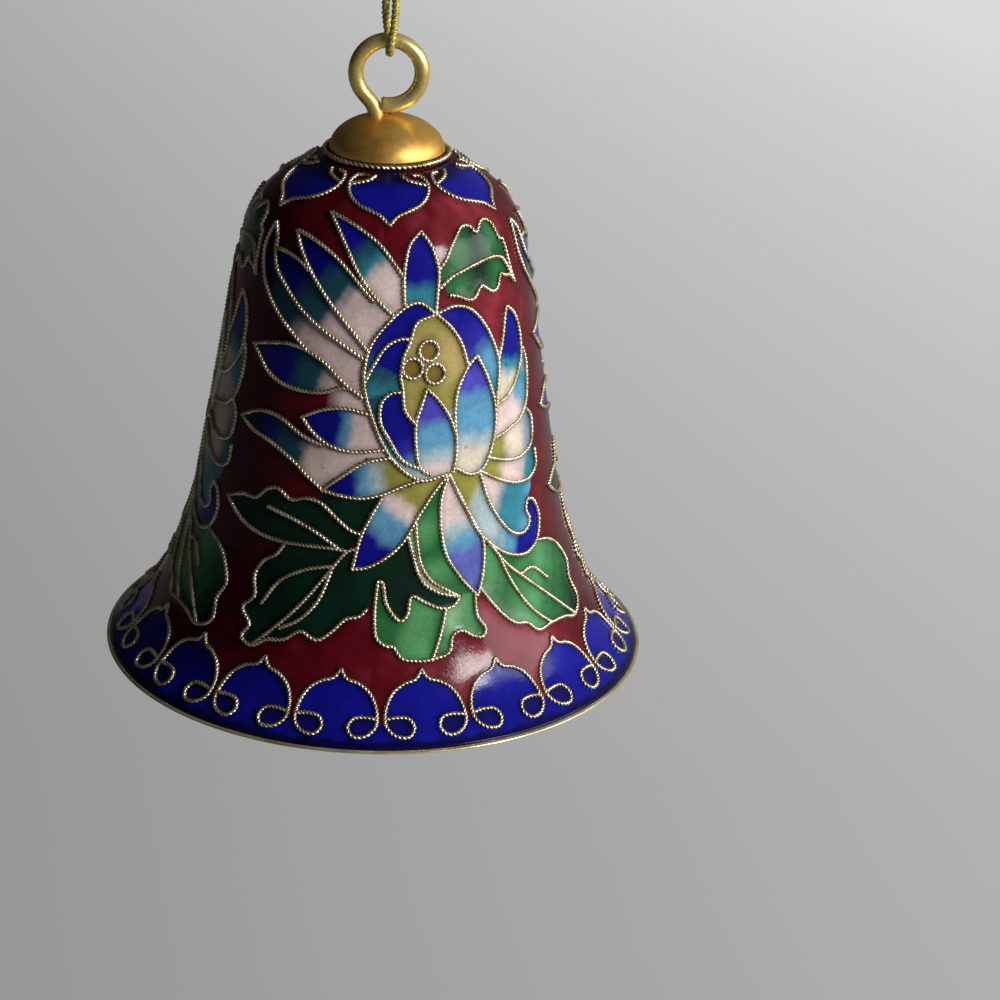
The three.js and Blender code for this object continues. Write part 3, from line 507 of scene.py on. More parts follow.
def smooth_line(points, per_span=SPAN):
    """A centripetal Catmull-Rom line through points of any dimension."""
    p = np.array(points, dtype=float)
    p = np.vstack([2 * p[0] - p[1], p, 2 * p[-1] - p[-2]])
    w = np.linspace(0, 1, per_span, endpoint=False)[:, None]
    line = []
    for i in range(1, len(p) - 2):
        before, here, after = (p[i + k] - p[i + k - 1] for k in (0, 1, 2))
        a, b, c = (max(1e-6, np.linalg.norm(step) ** 0.5) for step in (before, here, after))
        start = (before / a - (before + here) / (a + b) + here / b) * b
        end = (here / b - (here + after) / (b + c) + after / c) * b
        line.append(
            (2 * w ** 3 - 3 * w ** 2 + 1) * p[i] + (w ** 3 - 2 * w ** 2 + w) * start
            + (-2 * w ** 3 + 3 * w ** 2) * p[i + 1] + (w ** 3 - w ** 2) * end
        )
    line.append(p[-2][None])
    return np.vstack(line)


def seed_ring(turn, height):
    angle = np.linspace(0, FULL_TURN, 25)
    wide = np.degrees(SEED_RADIUS / wall_at(height)[0])
    return np.stack([turn + wide * np.cos(angle), height + SEED_RADIUS * np.sin(angle)], axis=-1)


def mirrored(points):
    return [(-turn, height) for turn, height in points]


def turned_lines(lines, turn):
    return [line + np.array([turn, 0.0]) for line in lines]


LINES = {name: smooth_line(points) for name, points in {**LOTUS, **LEAVES}.items()}
RIM_LINES = [smooth_line(half) for half in (RIM_ARCH_HALF, mirrored(RIM_ARCH_HALF))]
CROWN_LINES = [
    smooth_line(half) for half in
    (CROWN_SHIELD_HALF, mirrored(CROWN_SHIELD_HALF), CROWN_SCROLL_HALF, mirrored(CROWN_SCROLL_HALF))
]


def wire_groups():
    """The wires on the bell by the nodes they stand for: how many copies go round, and the lines of one copy."""
    groups = {
        "rim_lappet_wires": (RIM_LAPPETS, turned_lines(RIM_LINES, RIM_LAPPET_TURN)),
        "crown_lappet_wires": (CROWN_LAPPETS, turned_lines(CROWN_LINES, CROWN_LAPPET_TURN)),
    }
    lotus = [LINES[name] for name in LOTUS] + [seed_ring(*seed) for seed in SEEDS]
    for copy, turn in enumerate(FLOWER_TURNS, 1):
        groups[f"lotus_wires_{copy}"] = (1, turned_lines(lotus, turn))
        for leaf, names in LEAF_NODES.items():
            groups[f"{leaf}_wires_{copy}"] = (1, turned_lines([LINES[name] for name in names], turn))
    return groups


def linear(colour):
    share = np.array(colour, dtype=float) / 255
    return np.where(share <= 0.04045, share / 12.92, ((share + 0.055) / 1.055) ** 2.4)


# Meshes


def new_object(name, mesh, finish=None):
    piece = bpy.data.objects.new(name, mesh)
    bpy.context.scene.collection.objects.link(piece)
    if finish:
        mesh.materials.append(finish)
    return piece


def seat(piece, body, slot, *nodes):
    """The piece's body and the nodes that it stands for; its slot is not used."""
    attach(piece, body)
    if nodes:
        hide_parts(*nodes)


def add_piece(mesh, finish, body, slot, *nodes):
    seat(new_object(mesh.name, mesh, material(finish)), body, slot, *nodes)


def face_outward(mesh):
    volume = 0.0
    mesh.calc_loop_triangles()
    for tri in mesh.loop_triangles:
        a, b, c = (mesh.vertices[i].co for i in tri.vertices)
        volume += a.dot(b.cross(c))
    if volume < 0:
        mesh.flip_normals()


def mesh_from(name, vertices, faces):
    mesh = bpy.data.meshes.new(name)
    mesh.from_pydata([tuple(v) for v in vertices], [], faces)
    mesh.validate()
    mesh.polygons.foreach_set("use_smooth", [True] * len(mesh.polygons))
    mesh.update()
    return mesh


def closed_mesh(name, vertices, faces):
    mesh = mesh_from(name, vertices, faces)
    face_outward(mesh)
    return mesh


def closed_faces(rows, columns):
    """Faces of a grid that closes both ways, row by row."""
    faces = []
    for i in range(rows):
        near, far = i * columns, (i + 1) % rows * columns
        for k in range(columns):
            beside = (k + 1) % columns
            faces.append((near + k, near + beside, far + beside, far + k))
    return faces


def turned_mesh(name, profile, segments):
    """A closed profile of (radius, height) turned round the bell's axis."""
    turns = np.linspace(0, 360, segments, endpoint=False)
    rings = [round_axis(radius, turns, np.full(segments, height)) for radius, height in profile]
    return closed_mesh(name, np.vstack(rings), closed_faces(len(profile), segments))


def tube_mesh(name, line, diameter, sides):
    """A round wire with softened ends along points in metres."""
    points = [Vector(p) for p in line]
    last = len(points) - 1
    radius = diameter * MM / 2
    tangents = [(points[min(i + 1, last)] - points[max(i - 1, 0)]).normalized() for i in range(last + 1)]
    side = tangents[0].orthogonal().normalized()
    sections = []
    for point, tangent in zip(points, tangents):
        side = (side - tangent * side.dot(tangent)).normalized()
        sections.append((point, tangent, side, radius))
    start, end = (
        (point + tangent * radius * way, tangent, side, radius * 0.8)
        for (point, tangent, side, _), way in ((sections[0], -0.25), (sections[-1], 0.25))
    )
    sections = [start, *sections, end]
    vertices = []
    for point, tangent, side, reach in sections:
        other = tangent.cross(side)
        for angle in (FULL_TURN * k / sides for k in range(sides)):
            vertices.append(point + side * reach * math.cos(angle) + other * reach * math.sin(angle))
    faces = closed_faces(len(sections), sides)[:-sides]
    faces.append(tuple(range(sides - 1, -1, -1)))
    faces.append(tuple(range((len(sections) - 1) * sides, len(sections) * sides)))
    return closed_mesh(name, vertices, faces)


def arc_points(centre, radius, arc, count):
    angle = np.radians(np.linspace(*arc, count))
    return [(radius * math.cos(a), 0.0, centre + radius * math.sin(a)) for a in angle]


def placed(points):
    """Points of (x, y, height) in millimetres as points in the frame."""
    return (np.array(points, dtype=float) - (0.0, 0.0, HANG_HEIGHT)) * MM


# Colours of the enamel


def inside(polygon, turns, heights):
    """Which points lie in a closed polygon, by crossings."""
    result = np.zeros(len(turns), dtype=bool)
    for (ax, az), (bx, bz) in zip(polygon, np.roll(polygon, -1, axis=0)):
        if az != bz:
            crosses = (az > heights) != (bz > heights)
            result ^= crosses & (turns < (bx - ax) * (heights - az) / (bz - az) + ax)
    return result


def along(axis, turns, heights, scale):
    """Share of the way along a bent line, for each point."""
    line = np.array(axis, dtype=float) * np.array([scale, 1.0])
    points = np.stack([turns * scale, heights], axis=-1)
    best = np.full(len(points), np.inf)
    share = np.zeros(len(points))
    lengths = np.linalg.norm(np.diff(line, axis=0), axis=1)
    done = 0.0
    for start, end, length in zip(line[:-1], line[1:], lengths):
        direction = (end - start) / length
        reach = np.clip((points - start) @ direction, 0, length)
        gap = np.linalg.norm(points - start - reach[:, None] * direction, axis=1)
        closer = gap < best
        best = np.where(closer, gap, best)
        share = np.where(closer, (done + reach) / lengths.sum(), share)
        done += length
    return share


def ripple(turns, heights, scale):
    """A fixed uneven field of about -1 to 1, for hand-laid edges between shades."""
    x = np.radians(turns) * 16 * scale
    z = heights * scale
    field = np.sin(1.7 * x + 0.6 * z + 0.4) * np.cos(1.3 * z - 0.5 * x)
    field += 0.6 * np.sin(3.9 * x - 2.3 * z + 1.1) + 0.4 * np.sin(6.1 * z + 4.3 * x + 2.0)
    return field / 2


def palette():
    """The enamel shades, with the colours that the settings hold."""
    settings = bpy.context.scene.bell
    chosen = {"maroon": settings.ground, "cobalt": settings.petal, "green": settings.leaf}
    return {**COLOURS, **{name: tuple(255 * share for share in value) for name, value in chosen.items()}}


def shade(colours, share, blend=0.45):
    """Shades laid one after another, each melting into the next over a part of a step."""
    shades = palette()
    table = np.array([linear(shades[name]) for name in colours])
    step = share * (len(colours) - 1)
    low = np.minimum(step.astype(int), len(colours) - 2)
    mix = np.clip((step - low - 0.5) / blend + 0.5, 0, 1)[:, None]
    return table[low] * (1 - mix) + table[low + 1] * mix


def cell_outline(parts):
    rows = []
    for part in parts:
        if isinstance(part, tuple):
            rows.append(np.array([part], dtype=float))
        elif part.startswith("-"):
            rows.append(LINES[part[1:]][::-1])
        else:
            rows.append(LINES[part])
    return np.vstack(rows)


def ground_sheen_share(turns, heights):
    """How far the red ground pales at each point: a painted sheen on the right of each flower, and deep red as
    painted shade on its left.
    """
    share = np.zeros(len(turns))
    for flower_turn, most in zip(FLOWER_TURNS, GROUND_SHEEN):
        pale = np.interp(turn_from(turns, flower_turn), *GROUND_SHEEN_ROUND)
        share = np.maximum(share, most * pale)
    share = np.clip(share + 0.16 * ripple(turns, heights, 0.5), 0, 1)
    return share * np.interp(heights, *GROUND_SHEEN_UP)


def paint_lappets(colour, turns, heights):
    left, right = RIM_LINES
    arch_end, curl_start = 6 * SPAN, 7 * SPAN
    rim_cell = np.vstack([left[arch_end::-1], right[1:arch_end + 1], [(9.2, 0), (-9.2, 0)]])
    for i in range(RIM_LAPPETS):
        turn = turn_from(turns, RIM_LAPPET_TURN + 360 / RIM_LAPPETS * i)
        found = inside(rim_cell, turn, heights) | ((np.abs(turn) <= 10) & (heights < 1.9))
        share = np.clip(heights[found] - 0.3 + 0.15 * ripple(turns[found], heights[found], 1.2), 0, 1)
        colour[found] = shade(["cobalt_deep", "cobalt_deep", "cobalt", "cobalt"], share)
        for loop in RIM_LINES:
            colour[inside(loop[curl_start:], turn, heights)] = linear(COLOURS["loop_blue"])
    left, right, left_scroll, right_scroll = CROWN_LINES
    shield_end = 5 * SPAN
    crown_cell = np.vstack([
        [(-9.5, 48.3)], left_scroll[::-1], left[shield_end::-1], right[1:shield_end + 1], right_scroll, [(9.5, 48.3)],
    ])
    for i in range(CROWN_LAPPETS):
        turn = turn_from(turns, CROWN_LAPPET_TURN + 360 / CROWN_LAPPETS * i)
        found = inside(crown_cell, turn, heights)
        colour[found] = shade(["cobalt", "cobalt", "cobalt_deep"], np.clip((heights[found] - 45.2) / 3, 0, 1))


def paint_flower(colour, turn, heights):
    for parts, axis, colours in CELLS.values():
        outline = cell_outline(parts)
        low, high = outline.min(axis=0), outline.max(axis=0)
        near = np.nonzero((turn >= low[0]) & (turn <= high[0]) & (heights >= low[1]) & (heights <= high[1]))[0]
        near = near[inside(outline, turn[near], heights[near])]
        scale = math.radians(1) * float(wall_at(outline[:, 1].mean())[0])
        share = along(axis, turn[near], heights[near], scale)
        share = np.clip(share + 0.035 * ripple(turn[near], heights[near], 1.0), 0, 1)
        colour[near] = shade(colours.split(), share, 0.8)
    for seed_turn, seed_height in SEEDS:
        across = np.radians(turn - seed_turn) * wall_at(seed_height)[0]
        colour[np.hypot(across, heights - seed_height) < SEED_RADIUS] = linear(COLOURS["seed"])


def enamel_colours(turns, heights):
    """Linear colour of the enamel at each point of the face, with painted sheen and painted shade on the ground."""
    # Painted light: the ground runs from deep red as painted shade to a rose painted sheen.
    colour = shade(["maroon_deep", "maroon", "sheen_rose"], ground_sheen_share(turns, heights), 1.0)
    paint_lappets(colour, turns, heights)
    for flower_turn in FLOWER_TURNS:
        paint_flower(colour, turn_from(turns, flower_turn), heights)
    return colour


def wire_distance(points):
    """How far each point of the face is from the nearest wire, in millimetres."""
    samples = []
    for copies, lines in wire_groups().values():
        for line in lines:
            for i in range(copies):
                samples.append(on_wall(line[:, 0] + 360 / copies * i, line[:, 1], 0.1))
    samples = np.vstack(samples)
    tree = kdtree.KDTree(len(samples))
    for i, sample in enumerate(samples):
        tree.insert(sample, i)
    tree.balance()
    return np.array([tree.find(point)[2] for point in points]) / MM


# Materials


def feed(tree, node, inputs):
    """Links and plain values on a node's inputs."""
    for name, value in inputs.items():
        if isinstance(value, bpy.types.NodeSocket):
            tree.links.new(value, node.inputs[name])
        else:
            node.inputs[name].default_value = value


def add_node(tree, kind, inputs=None, **settings):
    node = tree.nodes.new(kind)
    for name, value in settings.items():
        setattr(node, name, value)
    feed(tree, node, inputs or {})
    return node


def number(tree, operation, *values):
    """A math node on sockets and plain numbers."""
    return add_node(tree, "ShaderNodeMath", dict(enumerate(values)), operation=operation).outputs[0]


def ramp(tree, source, stops):
    node = add_node(tree, "ShaderNodeValToRGB", {"Fac": source})
    elements = node.color_ramp.elements
    while len(elements) < len(stops):
        elements.new(0.5)
    for element, (position, value) in zip(elements, stops):
        element.position = position
        element.color = (*value, 1.0) if isinstance(value, tuple) else (value, value, value, 1.0)
    return node.outputs["Color"]


def colour_ramp(tree, source, stops):
    """A ramp between colours of 0 to 255."""
    return ramp(tree, source, [(position, tuple(linear(colour))) for position, colour in stops])


def multiply(tree, first, second, amount):
    inputs = {"Factor": amount, "A": first, "B": second}
    return add_node(tree, "ShaderNodeMix", inputs, data_type="RGBA", blend_type="MULTIPLY").outputs["Result"]


def unevenness_group():
    """Cloudy tone, fine grain and a bumped normal, all in object space."""
    group = bpy.data.node_groups.get("unevenness")
    if group:
        return group
    group = bpy.data.node_groups.new("unevenness", "ShaderNodeTree")
    for label, value in (("Cloud Scale", 300.0), ("Grain Scale", 2500.0), ("Bump", 0.1)):
        socket = group.interface.new_socket(label, in_out="INPUT", socket_type="NodeSocketFloat")
        socket.default_value = value
    for label, kind in (("Cloud", "NodeSocketFloat"), ("Grain", "NodeSocketFloat"), ("Normal", "NodeSocketVector")):
        group.interface.new_socket(label, in_out="OUTPUT", socket_type=kind)
    entry = group.nodes.new("NodeGroupInput").outputs
    place = group.nodes.new("ShaderNodeTexCoord").outputs["Object"]
    cloud, grain = (
        add_node(group, "ShaderNodeTexNoise", {"Vector": place, "Scale": scale, "Detail": detail}).outputs["Fac"]
        for scale, detail in ((entry["Cloud Scale"], 4), (entry["Grain Scale"], 3))
    )
    height = number(group, "MULTIPLY_ADD", grain, 0.6, cloud)
    bump = add_node(group, "ShaderNodeBump", {"Height": height, "Strength": entry["Bump"], "Distance": 0.0002})
    add_node(group, "NodeGroupOutput", {"Cloud": cloud, "Grain": grain, "Normal": bump.outputs["Normal"]})
    return group


def surface(name, cloud_scale, grain_scale, bump):
    """A material's tree and shader, with the cloud and the grain of the shared unevenness."""
    material = bpy.data.materials.new(name)
    material.use_nodes = True
    tree = material.node_tree
    shader = tree.nodes["Principled BSDF"]
    sizes = {"Cloud Scale": cloud_scale, "Grain Scale": grain_scale, "Bump": bump}
    uneven = add_node(tree, "ShaderNodeGroup", sizes, node_tree=unevenness_group()).outputs
    feed(tree, shader, {"Normal": uneven["Normal"]})
    return tree, shader, uneven["Cloud"], uneven["Grain"]


def metal(name, dark, light, roughness, polish=1.0, cloud_scale=260, grain_scale=2600, bump=0.06):
    tree, shader, cloud, grain = surface(name, cloud_scale, grain_scale, bump)
    low, high = roughness
    feed(tree, shader, {
        "Base Color": colour_ramp(tree, cloud, [(0.32, dark), (0.68, light)]),
        "Roughness": ramp(tree, grain, [(0.3, low), (0.75, high)]),
        "Metallic": polish,
    })


def fired_enamel(name):
    """Glassy enamel in the colours stored on the coat, which hold painted shade beside the wires and a painted sheen
    on the ground; cloudy and with a few pinholes.
    """
    tree, shader, cloud, grain = surface(name, 420, 3200, 0.1)
    colour = add_node(tree, "ShaderNodeAttribute", attribute_name="enamel_colour").outputs["Color"]
    tone = multiply(tree, colour, ramp(tree, cloud, [(0.3, 0.8), (0.7, 1.1)]), 1.0)
    tone = multiply(tree, tone, ramp(tree, grain, [(0.3, 0.82), (0.62, 1.04)]), 0.8)
    place = tree.nodes.new("ShaderNodeTexCoord").outputs["Object"]
    holes = add_node(tree, "ShaderNodeTexVoronoi", {"Vector": place, "Scale": 620}).outputs
    pick = add_node(tree, "ShaderNodeSeparateColor", {"Color": holes["Color"]}).outputs["Red"]
    few = number(tree, "GREATER_THAN", pick, 0.84)
    spread = number(tree, "SUBTRACT", 1.0, number(tree, "MULTIPLY", holes["Distance"], 6.0))
    pit = number(tree, "MULTIPLY", few, number(tree, "MAXIMUM", spread, 0.0))
    feed(tree, shader, {
        "Base Color": multiply(tree, tone, number(tree, "SUBTRACT", 1.0, pit), 0.75),
        "Roughness": ramp(tree, cloud, [(0.3, 0.1), (0.75, 0.22)]),
        "Specular IOR Level": 0.17,
        "Coat Weight": 0.06,
        "Coat Roughness": 0.1,
    })


def lining_enamel(name):
    tree, shader, cloud, grain = surface(name, 240, 2400, 0.08)
    blue = 255 * np.array(bpy.context.scene.bell.lining)
    speckle = colour_ramp(tree, grain, [(0.36, 0.6 * blue), (0.55, blue), (0.68, 0.6 * blue + 0.4 * 230)])
    feed(tree, shader, {
        "Base Color": multiply(tree, speckle, ramp(tree, cloud, [(0.3, 0.7), (0.7, 1.0)]), 1.0),
        "Roughness": ramp(tree, cloud, [(0.3, 0.16), (0.75, 0.34)]),
    })


def gold_thread(name):
    tree, shader, cloud, grain = surface(name, 900, 9000, 0.25)
    golds = [(0.3, (138, 116, 44)), (0.55, (214, 194, 96)), (0.75, (248, 236, 160))]
    feed(tree, shader, {
        "Base Color": colour_ramp(tree, grain, golds),
        "Roughness": ramp(tree, cloud, [(0.3, 0.32), (0.75, 0.5)]),
        "Metallic": 0.45,
    })


MAKERS = {"fired_enamel": fired_enamel, "lining_enamel": lining_enamel, "gold_thread": gold_thread}

# Each metal's dark and light colour and its roughness, then its polish and grain where they aren't the usual ones.
METALS = {
    "cap_gilt": ((222, 160, 62), (252, 212, 122), (0.4, 0.56), 0.86, 180, 1500, 0.12),
    "ring_gilt": ((244, 206, 104), (255, 240, 166), (0.24, 0.4), 0.76),
    "rim_gilt": ((206, 180, 122), (255, 244, 206), (0.24, 0.42), 0.8),
    "wire_gilt": ((184, 160, 118), (255, 246, 220), (0.22, 0.4), 0.84, 900, 5000, 0.1),
    "clapper_brass": ((140, 104, 44), (202, 164, 84), (0.24, 0.44)),
    "bare_copper": ((132, 70, 44), (186, 112, 74), (0.3, 0.5)),
}


def material(name):
    if name not in bpy.data.materials:
        if name in METALS:
            metal(name, *METALS[name])
        else:
            MAKERS[name](name)
    return bpy.data.materials[name]


# Twisted strands


def strand_tree():
    """Curves to twisted strands, a lobed section that turns once in each pitch, copied round the bell's axis."""
    tree = bpy.data.node_groups.get("twisted_strand")
    if tree:
        return tree
    tree = bpy.data.node_groups.new("twisted_strand", "GeometryNodeTree")
    kinds = {
        "Curves": "Geometry", "Radius": "Float", "Pitch": "Float", "Step": "Float", "Lobes": "Float",
        "Groove": "Float", "Sides": "Int", "Copies": "Int", "Finish": "Material",
    }
    for label, kind in kinds.items():
        tree.interface.new_socket(label, in_out="INPUT", socket_type="NodeSocket" + kind)
    tree.interface.new_socket("Strand", in_out="OUTPUT", socket_type="NodeSocketGeometry")
    entry = tree.nodes.new("NodeGroupInput").outputs
    spline = tree.nodes.new("GeometryNodeSplineParameter").outputs

    spacing = {"Curve": entry["Curves"], "Length": entry["Step"]}
    even = add_node(tree, "GeometryNodeResampleCurve", spacing, mode="LENGTH")
    twist = number(tree, "MULTIPLY", number(tree, "DIVIDE", spline["Length"], entry["Pitch"]), FULL_TURN)
    path = add_node(tree, "GeometryNodeSetCurveTilt", {"Curve": even.outputs["Curve"], "Tilt": twist})

    size = {"Resolution": entry["Sides"], "Radius": entry["Radius"]}
    circle = add_node(tree, "GeometryNodeCurvePrimitiveCircle", size)
    angle = number(tree, "MULTIPLY", number(tree, "MULTIPLY", spline["Factor"], entry["Lobes"]), FULL_TURN)
    wave = number(tree, "MULTIPLY", number(tree, "COSINE", angle), entry["Groove"])
    reach = number(tree, "ADD", wave, number(tree, "SUBTRACT", 1.0, entry["Groove"]))
    position = tree.nodes.new("GeometryNodeInputPosition").outputs["Position"]
    scaled = add_node(tree, "ShaderNodeVectorMath", {0: position, "Scale": reach}, operation="SCALE")
    lobed = {"Geometry": circle.outputs["Curve"], "Position": scaled.outputs["Vector"]}
    section = add_node(tree, "GeometryNodeSetPosition", lobed)

    sweep = add_node(tree, "GeometryNodeCurveToMesh", {
        "Curve": path.outputs["Curve"], "Profile Curve": section.outputs["Geometry"], "Fill Caps": True,
    })
    strand = add_node(tree, "GeometryNodeSetShadeSmooth", {"Geometry": sweep.outputs["Mesh"]})

    index = tree.nodes.new("GeometryNodeInputIndex").outputs["Index"]
    share = number(tree, "DIVIDE", index, entry["Copies"])
    euler = add_node(tree, "ShaderNodeCombineXYZ", {"Z": number(tree, "MULTIPLY", share, FULL_TURN)})
    turn = add_node(tree, "FunctionNodeEulerToRotation", {"Euler": euler.outputs["Vector"]})
    axis = add_node(tree, "GeometryNodePoints", {"Count": entry["Copies"]})
    copies = add_node(tree, "GeometryNodeInstanceOnPoints", {
        "Points": axis.outputs["Points"], "Instance": strand.outputs["Geometry"],
        "Rotation": turn.outputs["Rotation"],
    })
    real = add_node(tree, "GeometryNodeRealizeInstances", {"Geometry": copies.outputs["Instances"]})
    finish = {"Geometry": real.outputs["Geometry"], "Material": entry["Finish"]}
    done = add_node(tree, "GeometryNodeSetMaterial", finish)
    add_node(tree, "NodeGroupOutput", {"Strand": done.outputs["Geometry"]})
    return tree


def strand_object(name, lines, finish, closed=False, **sizes):
    """Twisted strands along lines of points in metres, as one plain mesh object."""
    curve = bpy.data.curves.new(name + "_line", "CURVE")
    curve.dimensions = "3D"
    for line in lines:
        spline = curve.splines.new("POLY")
        spline.points.add(len(line) - 1)
        for point, place in zip(spline.points, line):
            point.co = (*place, 1.0)
        spline.use_cyclic_u = closed
    guide = bpy.data.objects.new(name + "_line", curve)
    bpy.context.scene.collection.objects.link(guide)
    tree = strand_tree()
    modifier = guide.modifiers.new("strand", "NODES")
    modifier.node_group = tree
    values = {"copies": 1, **sizes, "finish": material(finish)}
    for item in tree.interface.items_tree:
        if item.in_out == "INPUT" and item.name.lower() in values:
            modifier[item.identifier] = values[item.name.lower()]
    bpy.context.view_layer.update()
    graph = bpy.context.evaluated_depsgraph_get()
    mesh = bpy.data.meshes.new_from_object(guide.evaluated_get(graph))
    mesh.name = name
    bpy.data.objects.remove(guide)
    bpy.data.curves.remove(curve)
    face_outward(mesh)
    return new_object(name, mesh)


# Settings and operators


class BellSettings(bpy.types.PropertyGroup):
    """Sizes and colours of the ornament's surface"""

    wire_radius: bpy.props.FloatProperty(
        name="Wire radius", description="Radius of the twisted wire that walls the enamel cells",
        default=0.00022, min=0.0001, max=0.0005, precision=5, unit="LENGTH",
    )
    wire_pitch: bpy.props.FloatProperty(
        name="Wire twist", description="Length of one full turn of the wire's two strands",
        default=0.00078, min=0.0004, max=0.003, precision=5, unit="LENGTH",
    )
    thread_pitch: bpy.props.FloatProperty(
        name="Thread twist", description="Length of one full turn of the hanging thread's strands",
        default=0.0015, min=0.0008, max=0.005, precision=5, unit="LENGTH",
    )
    meniscus: bpy.props.FloatProperty(
        name="Enamel rise", description="How far the fired enamel climbs up the wires",
        default=0.00007, min=0.0, max=0.0002, precision=5, unit="LENGTH",
    )
    columns: bpy.props.IntProperty(
        name="Enamel columns", description="Points of the enamel round the bell",
        default=420, min=90, max=440,
    )
    rows: bpy.props.IntProperty(
        name="Enamel rows", description="Points of the enamel from the rim to the crown",
        default=200, min=60, max=210,
    )
    ground: bpy.props.FloatVectorProperty(
        name="Ground red", description="Colour of the enamel between the flowers",
        default=(0.4, 0.06, 0.11), min=0.0, max=1.0, size=3, subtype="COLOR_GAMMA",
    )
    petal: bpy.props.FloatVectorProperty(
        name="Petal blue", description="Colour of the petals' outer halves and of the lappets",
        default=(0.08, 0.086, 0.58), min=0.0, max=1.0, size=3, subtype="COLOR_GAMMA",
    )
    leaf: bpy.props.FloatVectorProperty(
        name="Leaf green", description="Middle shade of the leaves",
        default=(0.2, 0.455, 0.26), min=0.0, max=1.0, size=3, subtype="COLOR_GAMMA",
    )
    lining: bpy.props.FloatVectorProperty(
        name="Lining blue", description="Colour of the enamel inside the bell",
        default=(0.133, 0.26, 0.63), min=0.0, max=1.0, size=3, subtype="COLOR_GAMMA",
    )


class StageSettings(bpy.types.PropertyGroup):
    """Lamps and tone of the room"""

    key_power: bpy.props.FloatProperty(
        name="Key lamp", description="Power of the small lamp at the right front",
        default=1.8, min=0.0, max=50.0, unit="POWER",
    )
    window_power: bpy.props.FloatProperty(
        name="Window", description="Power of the broad lamp at the right",
        default=1.2, min=0.0, max=50.0, unit="POWER",
    )
    back_power: bpy.props.FloatProperty(
        name="Back lamp", description="Power of the soft lamp behind the ornament",
        default=1.4, min=0.0, max=50.0, unit="POWER",
    )
    backdrop_tone: bpy.props.FloatProperty(
        name="Backdrop tone", description="Grey of the backdrop in the middle of the view",
        default=0.295, min=0.0, max=1.0, subtype="FACTOR",
    )
    backdrop_slope: bpy.props.FloatProperty(
        name="Backdrop slope", description="How much lighter the backdrop gets in each metre to the right",
        default=0.48, min=0.0, max=2.0,
    )
    room_light: bpy.props.FloatProperty(
        name="Room light", description="Strength of the grey room round the ornament",
        default=0.5, min=0.0, max=2.0,
    )


